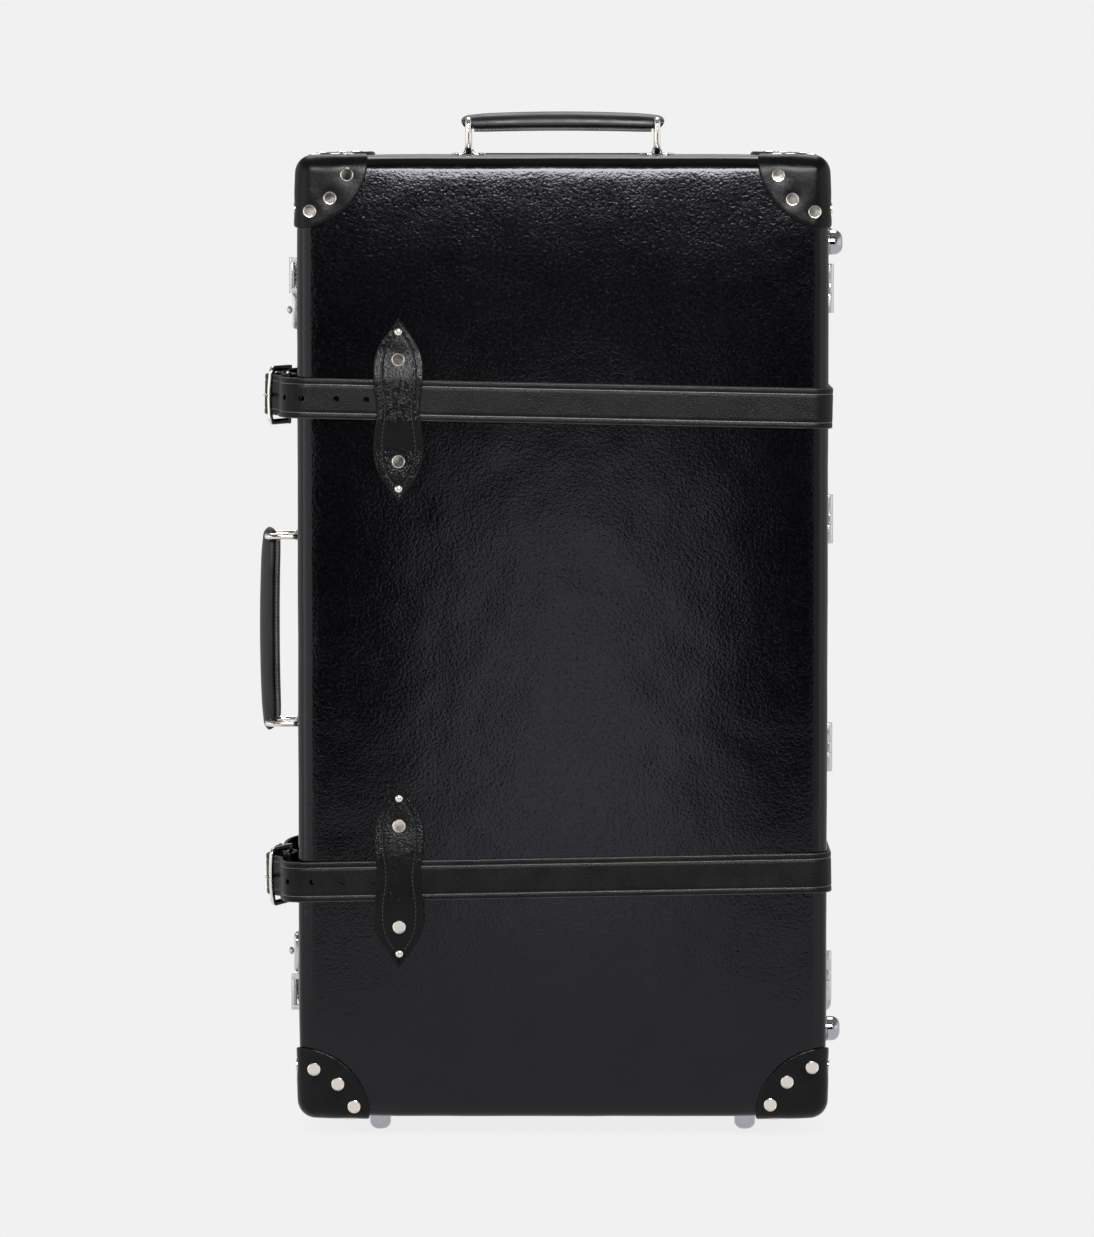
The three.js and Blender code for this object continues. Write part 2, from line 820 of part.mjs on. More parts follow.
// Buckle frame: local x runs out of the strap, local y along it
function buckleFrame() {
  const frame = roundedRectangle(buckleLength, buckleWidth, buckleCorner);
  frame.holes.push(
    roundedRectangle(
      buckleLength - 2 * buckleBar,
      buckleWidth - 2 * buckleBar,
      buckleCorner / 2,
      THREE.Path,
    ),
  );
  return plate(frame, buckleThickness, buckleThickness / 4, 1, coarseArc)
    .translate(0, 0, -buckleThickness / 2)
    .rotateX(Math.PI / 2)
    .rotateZ(Math.PI / 2)
    .rotateZ(-slant)
    .translate(bowX, bucklePlace, 0);
}

// The heel bar is turned round, so that the prong and the eye can ride on it
function heelTurned() {
  const barLength = buckleWidth - 2 * buckleBar;
  const clear = box(
    -buckleBar,
    buckleBar,
    -buckleBar,
    buckleBar,
    -barLength / 2 + fit,
    barLength / 2 - fit,
  ).translate(heelX, heelY, 0);
  const round = bar(buckleThickness / 2, buckleWidth - buckleBar, Z).translate(heelX, heelY, 0);
  return solid(buckleFrame()).subtract(solid(clear)).add(solid(round));
}

// The prong's eye turns on the heel bar and its tip rests on the front bar
const prongRise = buckleThickness / 2 + fit + prongDiameter / 2;
const prongLean = slant + Math.atan2(prongRise, 2 * barSpan);

function prong() {
  const length = (2 * barSpan + buckleBar / 2) / Math.cos(prongLean - slant);
  const eyeOuter = buckleThickness / 2 + fit + prongEye / 2;
  const ring = circle(0, 0, eyeOuter);
  ring.holes.push(circle(0, 0, buckleThickness / 2 + fit / 2, THREE.Path));
  const eye = plate(ring, prongDiameter, 0, 1, eyeArc).translate(0, 0, -prongDiameter / 2);
  const pin = bar(prongDiameter / 2, length - eyeOuter + prongEye / 2, Y)
    .translate(0, -(length + eyeOuter - prongEye / 2) / 2, 0);
  return solid(eye)
    .add(solid(pin))
    .rotate([0, 0, -THREE.MathUtils.radToDeg(prongLean)]);
}

// A chape lies on the lid above and below the strap and arches over it, not quite at its middle
function chape(shift) {
  const half = chapeLength / 2;
  const leaf = new THREE.Shape();
  leaf.moveTo(0, half);
  for (const side of [1, -1]) {
    const belly = (side * chapeBelly) / 2;
    const waist = (side * chapeWaist) / 2;
    const top = side * half;
    const rise = side * chapeBellyRise;
    leaf.bezierCurveTo(belly / 2, top - rise / 2, belly, (top + rise) / 2, belly, rise);
    leaf.bezierCurveTo(belly, rise / 2, waist, rise / 3, waist, 0);
    leaf.bezierCurveTo(waist, -rise / 3, belly, -rise / 2, belly, -rise);
    leaf.bezierCurveTo(belly, -(top + rise) / 2, belly / 2, rise / 2 - top, 0, -top);
  }
  const arch = strapGap + strapThickness + chapeStrapRoom;
  const room = strapWidth / 2 + chapeStrapRoom;
  const reach = half + Math.abs(shift) + overrun;
  const profile = new THREE.Shape();
  profile.moveTo(-reach, fit);
  profile.lineTo(-room - chapeRamp, fit);
  profile.lineTo(-room, arch);
  profile.lineTo(room, arch);
  profile.lineTo(room + chapeRamp, fit);
  profile.lineTo(reach, fit);
  profile.lineTo(reach, fit + chapeThickness);
  profile.lineTo(room + chapeRamp, fit + chapeThickness);
  profile.lineTo(room, arch + chapeThickness);
  profile.lineTo(-room, arch + chapeThickness);
  profile.lineTo(-room - chapeRamp, fit + chapeThickness);
  profile.lineTo(-reach, fit + chapeThickness);
  const sheet = plate(profile, chapeBelly + overrun, 0)
    .rotateX(Math.PI / 2)
    .rotateZ(Math.PI / 2)
    .translate(-(chapeBelly + overrun) / 2, 0, 0);
  const cutter = plate(leaf, arch + chapeThickness + overrun, 0, 1, roundArc).translate(0, shift, 0);
  return solid(cutter).intersect(solid(sheet));
}

for (const [level, rise, tilt, shift] of [
  ["upper", upperStrapRise, upperStrapTilt, upperChapeShift],
  ["lower", lowerStrapRise, lowerStrapTilt, lowerChapeShift],
]) {
  const strap = new THREE.Group();
  strap.position.set(0, 0, middle + rise);
  strap.rotation.y = degrees(tilt);
  const front = punched(ribbon(frontRun(), strapThickness, strapWidth));
  add(strap, `${level}_strap_front`, geometryOf(front), finishes.strap);
  const rear = ribbon(rearRun(), strapThickness, strapWidth);
  add(strap, `${level}_strap_rear`, geometryOf(rear), finishes.strap);
  add(strap, `${level}_strap_side`, geometryOf(sideStrap()), finishes.strap);
  add(strap, `${level}_buckle_frame`, geometryOf(heelTurned()), finishes.nickel);
  const pin = add(strap, `${level}_buckle_prong`, geometryOf(prong()), finishes.nickel);
  pin.position.set(heelX, heelY, 0);
  suitcase.add(strap);

  const spot = onFront(chapeOffset, middle + rise - chapeOffset * Math.sin(degrees(tilt)));
  add(spot, `${level}_chape`, geometryOf(chape(shift)), finishes.leather);
  suitcase.add(spot);
}

// Ring handles: local x runs along the grip, local z out of the case
function saddle() {
  const outer = ringWire / 2 + saddleClearance + saddleWall;
  const profile = new THREE.Shape();
  profile.moveTo(-saddleFoot, fit);
  profile.lineTo(saddleFoot, fit);
  profile.lineTo(outer, fit + saddleFootHeight);
  profile.lineTo(outer, ringAxisHeight);
  profile.absarc(0, ringAxisHeight, outer, 0, Math.PI);
  profile.lineTo(-outer, fit + saddleFootHeight);
  const block = plate(profile, saddleWidth, 0, 1, roundArc)
    .rotateX(Math.PI / 2)
    .translate(0, saddleWidth / 2, 0);
  const tunnel = new THREE.Shape();
  const room = ringWire / 2 + saddleClearance;
  tunnel.moveTo(-room, -overrun);
  tunnel.lineTo(room, -overrun);
  tunnel.lineTo(room, ringAxisHeight);
  tunnel.absarc(0, ringAxisHeight, room, 0, Math.PI);
  const cut = plate(tunnel, saddleWidth + overrun, 0, 1, roundArc)
    .rotateX(Math.PI / 2)
    .translate(0, (saddleWidth + overrun) / 2, 0);
  return solid(block).subtract(solid(cut));
}

function ring() {
  const height = ringRise + ringWire;
  const loop = roundedRectangle(ringWidth, height, ringCorner);
  loop.holes.push(
    roundedRectangle(
      ringWidth - 2 * ringWire,
      height - 2 * ringWire,
      ringCorner / 3,
      THREE.Path,
    ),
  );
  return plate(loop, ringWire, ringWire / 3, 1, coarseArc)
    .translate(0, 0, -ringWire / 2)
    .rotateX(Math.PI / 2)
    .rotateZ(Math.PI / 2)
    .translate(0, 0, ringRise / 2);
}

// The grip's side view: a long bow whose ends close round the rings' upper bars
function grip() {
  const reach = handleRingSpacing / 2;
  const axis = ringAxisHeight + ringRise;
  const top = gripTop - axis;
  const bottom = top - gripHeight;
  const shoulder = reach - gripShoulder;
  const side = new THREE.Shape();
  side.moveTo(-shoulder, bottom);
  side.lineTo(shoulder, bottom);
  side.quadraticCurveTo(reach - gripEndRadius, bottom, reach, -gripEndRadius);
  side.absarc(reach, 0, gripEndRadius, -Math.PI / 2, Math.PI / 2);
  side.quadraticCurveTo(reach - gripEndRadius, top, shoulder - gripShoulder / 2, top);
  side.lineTo(-shoulder + gripShoulder / 2, top);
  side.quadraticCurveTo(-reach + gripEndRadius, top, -reach, gripEndRadius);
  side.absarc(-reach, 0, gripEndRadius, Math.PI / 2, 1.5 * Math.PI);
  side.quadraticCurveTo(-reach + gripEndRadius, bottom, -shoulder, bottom);
  const body = plate(side, gripWidth, gripRound, 2, bodyArc)
    .rotateX(Math.PI / 2)
    .translate(0, gripWidth / 2, 0);
  let bored = solid(body);
  for (const end of [-1, 1]) {
    const bore = bar(ringWire / 2 + gripBoreClearance, gripWidth + overrun, Y, 2 * eyeArc);
    bored = bored.subtract(solid(bore.translate(end * reach, 0, 0)));
  }
  return bored;
}

function handle(name, spot, ends) {
  ends.forEach((end, i) => {
    const x = ((i ? 1 : -1) * handleRingSpacing) / 2;
    add(spot, `${name}_saddle_${end}`, geometryOf(saddle()), finishes.nickel).position.x = x;
    const loop = add(spot, `${name}_ring_${end}`, ring(), finishes.nickel);
    loop.position.set(x, 0, ringAxisHeight);
  });
  const hold = add(spot, `${name}_grip`, geometryOf(grip()), finishes.leather);
  hold.position.z = ringAxisHeight + ringRise;
  suitcase.add(spot);
}

handle("side_handle", onLeft(handleSetback, middle), ["lower", "upper"]);
handle("top_handle", onTop(0, handleSetback), ["left", "right"]);

// Wheels
function housing(x) {
  const well = bar(wheelRadius + wheelTopRoom, 2 * wellHalf, X, wheelSides).translate(x, wheelY, wheelZ);
  const mouth = box(
    x - wellHalf,
    x + wellHalf,
    wheelY,
    bodyDepth + 2 * overrun,
    -overrun - housingProud,
    wheelZ + wheelRadius + wheelTopRoom,
  );
  const under = box(
    x - wellHalf,
    x + wellHalf,
    wheelY - wheelRadius - wheelTopRoom,
    bodyDepth,
    -overrun - housingProud,
    wheelZ,
  );
  const axle = bar(wheelAxleRadius, 2 * housingHalf, X).translate(x, wheelY, wheelZ);
  return solid(housingBlock(x, 0))
    .subtract(solid(well))
    .subtract(solid(mouth))
    .subtract(solid(under))
    .add(solid(axle));
}

function wheel() {
  const half = wheelWidth / 2;
  const bore = wheelAxleRadius + wheelAxleClearance;
  const hub = wheelRadius / 2;
  const dish = wheelRound / 2;
  const profile = new THREE.Shape();
  profile.moveTo(bore, -half);
  profile.lineTo(hub, -half);
  profile.lineTo(hub, dish - half);
  profile.lineTo(wheelRadius - 2 * wheelRound, dish - half);
  profile.lineTo(wheelRadius - 2 * wheelRound, -half);
  profile.lineTo(wheelRadius - wheelRound, -half);
  profile.absarc(wheelRadius - wheelRound, wheelRound - half, wheelRound, -Math.PI / 2, 0);
  profile.absarc(wheelRadius - wheelRound, half - wheelRound, wheelRound, 0, Math.PI / 2);
  profile.lineTo(wheelRadius - 2 * wheelRound, half);
  profile.lineTo(wheelRadius - 2 * wheelRound, half - dish);
  profile.lineTo(hub, half - dish);
  profile.lineTo(hub, half);
  profile.lineTo(bore, half);
  profile.closePath();
  return new THREE.LatheGeometry(profile.getPoints(coarseArc), wheelSides).rotateZ(-Math.PI / 2);
}

for (const [hand, sign] of [["left", -1], ["right", 1]]) {
  const x = sign * wheelPlace;
  add(suitcase, `wheel_housing_${hand}`, geometryOf(housing(x)), finishes.moulded);
  add(suitcase, `wheel_${hand}`, wheel(), finishes.tread).position.set(x, wheelY, wheelZ);
}

// Pull handle: a cup let into the top, two long tubes under it, and the grip on inner tubes
function tube(width, thickness, corner, length, tubeWall) {
  const section = roundedRectangle(width, thickness, corner);
  section.holes.push(
    roundedRectangle(
      width - 2 * tubeWall,
      thickness - 2 * tubeWall,
      Math.max(corner - tubeWall, fit),
      THREE.Path,
    ),
  );
  return plate(section, length, 0, 1, coarseArc);
}

function pullHousing() {
  const rim = roundedRectangle(
    pullCupLength + 2 * pullRimOverlap,
    pullCupWidth + 2 * pullRimOverlap,
    pullCupCorner + pullRimOverlap,
  );
  const flange = plate(rim, pullRimProud - fit, 0).translate(0, pullY, bodyHeight + fit);
  const outside = plate(
    roundedRectangle(pullCupLength, pullCupWidth, pullCupCorner),
    pullCupDepth + pullRimProud,
    0,
  ).translate(0, pullY, bodyHeight - pullCupDepth);
  const inside = plate(
    roundedRectangle(
      pullCupLength - 2 * pullCupWall,
      pullCupWidth - 2 * pullCupWall,
      pullCupCorner - pullCupWall,
    ),
    pullCupDepth + overrun,
    0,
  ).translate(0, pullY, bodyHeight - pullCupDepth + pullCupWall);
  let shell = solid(flange).add(solid(outside)).subtract(solid(inside));
  const top = bodyHeight - pullCupDepth + pullCupWall;
  const inner = pullTubeCorner - pullTubeWall;
  for (const side of [-1, 1]) {
    const x = (side * pullTubeSpacing) / 2;
    const drop = solid(
      tube(pullTubeWidth, pullTubeThickness, pullTubeCorner, pullOuterLength, pullTubeWall)
        .translate(x, pullY, top - pullOuterLength),
    );
    const throat = plate(
      roundedRectangle(
        pullTubeWidth - 2 * pullTubeWall,
        pullTubeThickness - 2 * pullTubeWall,
        inner,
      ),
      2 * overrun,
      0,
      1,
      coarseArc,
    ).translate(x, pullY, top - overrun);
    shell = shell.subtract(solid(throat)).add(drop);
  }
  // The foot ties both tubes to the rear wall
  const footZ = top - pullOuterLength + pullFootMargin;
  let foot = solid(
    box(
      -pullTubeSpacing / 2 - pullTubeWidth,
      pullTubeSpacing / 2 + pullTubeWidth,
      pullY - pullTubeThickness / 2 - pullTubeWall,
      bodyDepth - wall - fit,
      footZ,
      footZ + pullFootHeight,
    ),
  );
  for (const side of [-1, 1]) {
    const bore = plate(
      roundedRectangle(
        pullTubeWidth - 2 * pullTubeWall,
        pullTubeThickness - 2 * pullTubeWall,
        inner,
      ),
      pullFootHeight + 2 * overrun,
      0,
      1,
      coarseArc,
    ).translate((side * pullTubeSpacing) / 2, pullY, footZ - overrun);
    foot = foot.subtract(solid(bore));
  }
  return shell.add(foot);
}

function pullGrip() {
  const top = bodyHeight + pullRimProud - fit;
  const outline = roundedRectangle(pullGripLength, pullGripHeight, pullGripHeight / 3);
  const hold = plate(outline, pullGripWidth, pullGripRound, 2, coarseArc)
    .rotateX(Math.PI / 2)
    .translate(0, pullY + pullGripWidth / 2, top - pullGripHeight / 2);
  let whole = solid(hold);
  for (const side of [-1, 1]) {
    const width = pullTubeWidth - 2 * (pullTubeWall + pullTubeFit);
    const thickness = pullTubeThickness - 2 * (pullTubeWall + pullTubeFit);
    const leg = tube(
      width,
      thickness,
      pullTubeCorner - pullTubeWall - pullTubeFit,
      pullInnerLength,
      pullTubeWall,
    ).translate((side * pullTubeSpacing) / 2, pullY, top - pullGripHeight / 2 - pullInnerLength);
    whole = whole.add(solid(leg));
  }
  return whole;
}

add(suitcase, "pull_handle_housing", geometryOf(pullHousing()), finishes.moulded);
add(suitcase, "pull_handle", geometryOf(pullGrip()), finishes.tube);

// The origin goes to the bottom centre of the whole case
const leftReach = halfWidth + gripTop;
const rightReach = halfWidth + sideFootHeight;
const frontReach = strapGap + strapThickness + chapeStrapRoom + chapeThickness;
const rearReach = bodyDepth + strapGap + strapThickness;
suitcase.position.set(
  (leftReach - rightReach) / 2,
  (frontReach - rearReach) / 2,
  bottomFootHeight,
);

export default suitcase;
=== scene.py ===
"""A tall black fibreboard suitcase with leather corners, two buckled straps and two ring handles.

Sizes are millimetres in the case frame: x from the middle, y from the lid's front, z from the underside.
"""
import math
import random

import bmesh
import bpy
import numpy as np
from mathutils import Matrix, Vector, noise

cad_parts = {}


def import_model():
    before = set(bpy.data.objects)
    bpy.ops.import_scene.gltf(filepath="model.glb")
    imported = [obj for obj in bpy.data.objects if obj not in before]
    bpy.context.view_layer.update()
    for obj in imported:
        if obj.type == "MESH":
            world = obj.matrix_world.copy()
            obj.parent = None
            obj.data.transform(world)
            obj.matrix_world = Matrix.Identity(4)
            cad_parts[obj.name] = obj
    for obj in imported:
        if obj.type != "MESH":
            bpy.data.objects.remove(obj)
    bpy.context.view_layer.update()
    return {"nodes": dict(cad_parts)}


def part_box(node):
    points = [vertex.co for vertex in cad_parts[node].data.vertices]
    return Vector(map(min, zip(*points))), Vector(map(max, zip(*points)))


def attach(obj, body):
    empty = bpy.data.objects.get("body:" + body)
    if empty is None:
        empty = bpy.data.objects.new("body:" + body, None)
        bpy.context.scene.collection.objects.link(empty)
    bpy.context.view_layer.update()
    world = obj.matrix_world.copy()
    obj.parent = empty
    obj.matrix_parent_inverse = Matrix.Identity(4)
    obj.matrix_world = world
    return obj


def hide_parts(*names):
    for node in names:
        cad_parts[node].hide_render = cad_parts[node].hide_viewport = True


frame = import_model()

random.seed(7)

MM = 0.001
HANDS = (("left", -1), ("right", 1))
LEVELS = (("upper", 1), ("lower", -1))

# The body, read from the frame
lid_low, lid_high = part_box("lid_shell")
base_low, base_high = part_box("base_shell")
ORIGIN = np.array([(lid_low.x + lid_high.x) / 2, lid_low.y, lid_low.z])
WIDTH = (lid_high.x - lid_low.x) / MM
HEIGHT = (lid_high.z - lid_low.z) / MM
DEPTH = (base_high.y - lid_low.y) / MM
LID_END = (lid_high.y - lid_low.y) / MM
LIP_START = (base_low.y - lid_low.y) / MM
SEAM = 0.6
WALL = 3.0
CUP_WALL = 2.2
WHEEL_ROOM = 0.3
# The frame lip's section: how far in from the body's outside, and how far back
LIP_PROFILE = (
    (3.8, LIP_START), (3.8, 69.0), (3.1, 69.0), (3.1, 93.5),
    (7.8, 93.5), (7.8, LIP_START + 0.8), (7.0, LIP_START),
)
EDGE = 12.0
TRAY_PITCH = 7.0
SIDE = WIDTH / 2
MIDDLE = HEIGHT / 2
HALF = np.array([SIDE, DEPTH / 2, MIDDLE])
CENTRE = np.array([0, DEPTH / 2, MIDDLE])

# The panels bulge a little: they fall away toward their edges
PILLOW = 1.7
PILLOW_REACH = 85.0
PILLOW_LIMIT = 1.45
ROLL = 0.05
ROLL_REACH = 4.0
WAVE = 0.16
WAVE_LONG = 38
WAVE_SHORT = 17
WAVE_SHIFT = Vector((9, 4, 2))

# Leather corner caps
CAP_REACH = 56.5
CAP_THICK = 3.0
CAP_ROOT = 62
CAP_TURNS = 96
CAP_RINGS = 30
CAP_LIFT = 0.25
RIVET_RADIUS = 5.2
RIVET_RISE = 0.9
RIVET_SINK = 0.75
RIVET_DIMPLE = 6.6
RIVET_LEAN = 0.035
CAP_SWELL = 0.22

# Straps
STRAP_WIDTH = 32.0
STRAP_THICK = 3.0
STRAP_GAP = 0.6
STRAP_LINE = STRAP_GAP + STRAP_THICK / 2
STRAP_TURN = -SIDE + 6.0
FRONT_HOLES_FROM = STRAP_TURN + 3
STRAP_BOW = 15.5
STRAP_BULGE = 7.0
STRAP_TAIL_END = 152.0
TIP_START = STRAP_TAIL_END - 17
STRAP_LAYER = 4.0
TAIL_HOLES = (118.0, 134.0)
PRONG_HOLE = 49
CREASE_INSET = 4.8
STRAPS = {"upper": (186.95, math.radians(1.15)), "lower": (-188.5, math.radians(-1.05))}
HOLE_PLACES = {"upper": (-215.5, -201.6, -178.2, -154.6), "lower": (-213.2, -198.2, -174.6, -150.8)}

# Buckles
BUCKLE_PLACE = 52.0
BUCKLE_LENGTH = 35.0
BUCKLE_WIDTH = 47.0
BUCKLE_BAR = 4.6
BUCKLE_THICK = 3.6
BUCKLE_CORNER = 5.0
BUCKLE_SLANT = math.radians(24)
KEEPER_PLACE = 92.0
KEEPER_WIDTH = 12.0
PRONG_SLOT = 3.4

# Chapes
CHAPE_HALF = 73.0
CHAPE_BELLY = 19.75
CHAPE_BELLY_RISE = 31.0
CHAPE_WAIST = 17.0
CHAPE_THICK = 2.5
CHAPE_RAMP = {"upper": 27.0, "lower": 44.0}
CHAPE_ROOM = 14.0
CHAPE_LIFT = 0.3
CHAPE_ARCH = 3.9
CHAPE_X = -129.4
CHAPE_SHIFT = {"upper": -8.0, "lower": 3.6}
CHAPE_RIVET = 40.2
CHAPE_NAIL = 61.8
CHAPE_SPOTS = (CHAPE_RIVET, -CHAPE_RIVET, CHAPE_NAIL, -CHAPE_NAIL)
STITCH_INSET = 6.6
STITCH_PITCH = 3.5
STITCH_SHARE = 0.74

# Ring handles
RING_SPACING = 151.0
RING_WIRE = 5.0
RING_WIDTH = 46.0
RING_CORNER = 6.0
RING_AXIS = 3.1
RING_RISE = 24.8
GRIP_TOP = 34.9
GRIP_ARCH = 2.5
GRIP_HEIGHT = 16.4
GRIP_WIDTH = 30.0
GRIP_END = 5.8
GRIP_WELT = 2.6
GRIP_PITCH = 2.9
SADDLE_REACH = 14
SADDLE_WIDTH = 24.0
HANDLE_SETBACK = 118.0

# Feet
SIDE_FOOT_RISE = 313.0
SIDE_FOOT_INSET = 30.0
BOTTOM_FOOT_OUT = 145.5
BOTTOM_FOOT_BACK = 35.0

# Camera, floor and light, in metres
CAMERA = (0.0127, -5.3133, 0.8208)
AIM = (-0.0007, -0.1133, 0.4114)
LENS = 217.5
FLOOR_RADIUS = 2.2
BACKGROUND = 0.879
SIDE_GLOW = 1.15


def world(points):
    """Case frame in millimetres to the frame's metres."""
    return ORIGIN + np.asarray(points, float) * MM


# Materials

def node(owner, kind, **values):
    """Adds a node to a material or world. Each value sets a socket, or else a setting of the node."""
    made = owner.node_tree.nodes.new(kind)
    for key, value in values.items():
        if key in made.inputs:
            made.inputs[key].default_value = value
        else:
            setattr(made, key, value)
    return made


def link(owner, source, target):
    owner.node_tree.links.new(source, target)


def map_range(owner, source, low, high, first, last, **values):
    made = node(owner, "ShaderNodeMapRange", **values)
    for socket, value in (("From Min", low), ("From Max", high), ("To Min", first), ("To Max", last)):
        made.inputs[socket].default_value = value
    link(owner, source, made.inputs["Value"])
    return made.outputs["Result"]


def color_ramp(owner, factor, stops):
    made = node(owner, "ShaderNodeValToRGB")
    for element, (position, color) in zip(made.color_ramp.elements, stops):
        element.position = position
        element.color = (*color, 1)
    link(owner, factor, made.inputs["Fac"])
    return made.outputs["Color"]


class Surface:
    """A material whose colour, gloss and relief follow patterns that are fixed to the piece."""

    def __init__(self, name, color, roughness, metallic=0.0, level=0.5, stretch=(1, 1, 1)):
        self.material = bpy.data.materials.new(name)
        self.material.use_nodes = True
        self.inputs = self.material.node_tree.nodes["Principled BSDF"].inputs
        self.inputs["Base Color"].default_value = (*color, 1)
        self.inputs["Roughness"].default_value = roughness
        self.inputs["Metallic"].default_value = metallic
        self.inputs["Specular IOR Level"].default_value = level
        coordinates = node(self.material, "ShaderNodeTexCoord")
        mapping = node(self.material, "ShaderNodeMapping", Scale=stretch)
        link(self.material, coordinates.outputs["Object"], mapping.inputs["Vector"])
        self.vector = mapping.outputs["Vector"]

    def texture(self, kind, output, **values):
        made = node(self.material, kind, **values)
        link(self.material, self.vector, made.inputs["Vector"])
        return made.outputs[output]

    def noise(self, scale, detail=2.0, distortion=0.0):
        return self.texture("ShaderNodeTexNoise", "Fac", Scale=scale, Detail=detail, Distortion=distortion)

    def cells(self, scale, smoothness):
        return self.texture(
            "ShaderNodeTexVoronoi", "Distance", feature="SMOOTH_F1", Scale=scale, Smoothness=smoothness
        )

    def relief(self, *layers):
        """Each layer is a height output and the depth in metres that it stands for."""
        normal = None
        for height, depth in layers:
            bump = node(self.material, "ShaderNodeBump", Strength=1.0, Distance=depth)
            link(self.material, height, bump.inputs["Height"])
            if normal is not None:
                link(self.material, normal, bump.inputs["Normal"])
            normal = bump.outputs["Normal"]
        link(self.material, normal, self.inputs["Normal"])

    def gloss(self, factor, low, high):
        """The factor's middle range, spread from low to high, is the roughness."""
        spread_out = map_range(self.material, factor, 0.3, 0.7, low, high)
        link(self.material, spread_out, self.inputs["Roughness"])

    def tint(self, factor, dark, light):
        blend = color_ramp(self.material, factor, ((0.35, dark), (0.65, light)))
        link(self.material, blend, self.inputs["Base Color"])


def fibreboard():
    board = Surface("fibreboard", (0.0006, 0.0006, 0.001), 0.13, level=0.32)
    board.inputs["Specular Tint"].default_value = (0.93, 0.88, 1, 1)
    hide = board.noise(380, distortion=0.4)
    pebble = board.cells(600, 0.8)
    fine = board.noise(1100)
    broad = board.noise(24, 1.0)
    board.relief((broad, 0.0005), (hide, 0.00012), (pebble, 0.00006), (fine, 0.00002))
    board.gloss(hide, 0.12, 0.165)
    board.tint(broad, (0.0004, 0.0004, 0.0008), (0.0008, 0.0008, 0.0013))
    return board.material


def fibre_edge():
    """The same board where it is pressed round an edge, which leaves it smoother."""
    board = Surface("fibre_edge", (0.001, 0.001, 0.0014), 0.12, level=0.32)
    board.inputs["Specular Tint"].default_value = (0.97, 0.96, 1, 1)
    soft = board.noise(60)
    board.relief((soft, 0.00025), (board.noise(700), 0.00003))
    board.gloss(soft, 0.1, 0.15)
    return board.material


def leather(name, dark, light, roughness, grain, depth, level=0.4):
    hide = Surface(name, light, roughness, level=level)
    cells = hide.cells(grain, 0.5)
    fine = hide.noise(grain * 1.7)
    soft = hide.noise(45)
    hide.relief((soft, 0.0005), (cells, depth), (fine, depth / 2))
    hide.gloss(soft, roughness - 0.05, roughness + 0.07)
    hide.tint(soft, dark, light)
    return hide.material


def plated(name, color, roughness, depth=0.00003):
    metal = Surface(name, color, roughness, metallic=1.0)
    wear = metal.noise(160, 4.0)
    metal.relief((metal.noise(240, 1.0), depth))
    metal.gloss(wear, roughness * 0.7, roughness * 1.5)
    return metal.material


def moulding(name, dark, light, roughness, grain=1500):
    plastic = Surface(name, light, roughness, level=0.4)
    speckle = plastic.noise(grain)
    plastic.relief((speckle, 0.00006))
    plastic.tint(speckle, dark, light)
    return plastic.material


def brushed():
    metal = Surface("pull_tube", (0.52, 0.52, 0.54), 0.3, metallic=1.0, stretch=(1, 1, 0.02))
    lines = metal.noise(3000)
    metal.relief((lines, 0.00001))
    metal.gloss(lines, 0.24, 0.36)
    return metal.material


def woven():
    """The cloth lining: two crossed sets of fine threads."""
    cloth = Surface("lining_cloth", (0.05, 0.048, 0.046), 0.8, level=0.25)
    threads = [
        cloth.texture("ShaderNodeTexWave", "Fac", bands_direction=direction, Scale=420.0, Distortion=0.4)
        for direction in ("X", "Z")
    ]
    cloth.relief(*[(height, 0.00012) for height in threads])
    cloth.tint(threads[0], (0.035, 0.034, 0.033), (0.06, 0.058, 0.055))
    cloth.inputs["Sheen Weight"].default_value = 0.2
    return cloth.material


FIBRE = fibreboard()
FIBRE_EDGE = fibre_edge()
CORNER = leather(
    "corner_leather", (0.0016, 0.0016, 0.002), (0.0028, 0.0028, 0.0033), 0.23, 1500, 0.00007, 0.16
)
GRIP = leather("grip_leather", (0.005, 0.005, 0.0065), (0.009, 0.009, 0.011), 0.36, 1300, 0.00005)
CHAPE = leather("chape_leather", (0.0012, 0.0012, 0.0017), (0.002, 0.002, 0.0026), 0.12, 800, 0.00024, 0.16)
BELT = leather("strap_leather", (0.002, 0.0017, 0.0015), (0.0036, 0.0031, 0.0028), 0.36, 1100, 0.00015, 0.14)
# The crease leather is far lighter than the strap: a painted highlight along the crease grooves, not the
# strap's own colour
CREASE_HIGHLIGHT = leather("strap_crease_highlight", (0.03, 0.029, 0.028), (0.07, 0.068, 0.066), 0.25, 900, 0.00004)
BURNISHED = leather("burnished_edge", (0.012, 0.011, 0.01), (0.03, 0.028, 0.026), 0.4, 1500, 0.00005)
WORN_EDGE = leather("worn_edge", (0.04, 0.038, 0.036), (0.085, 0.082, 0.078), 0.4, 1500, 0.00005)
THREAD = moulding("black_thread", (0.006, 0.006, 0.007), (0.02, 0.02, 0.021), 0.55, 2600)
NICKEL = plated("nickel", (0.78, 0.75, 0.69), 0.1)
WIRE = plated("drawn_wire", (0.78, 0.74, 0.68), 0.12, 0.000004)
RIVET = plated("rivet_nickel", (0.74, 0.69, 0.63), 0.135)
SATIN = plated("satin_nickel", (0.565, 0.56, 0.55), 0.25)
CHROME = plated("chrome", (0.4, 0.41, 0.44), 0.05)
MOULDED = moulding("moulded_black", (0.008, 0.008, 0.008), (0.013, 0.013, 0.013), 0.5)
TREAD = moulding("tyre", (0.011, 0.011, 0.011), (0.02, 0.02, 0.02), 0.7, 900)
HUB = moulding("wheel_hub", (0.05, 0.05, 0.05), (0.07, 0.07, 0.07), 0.45)
TUBE = brushed()
LINING = woven()


# Meshes

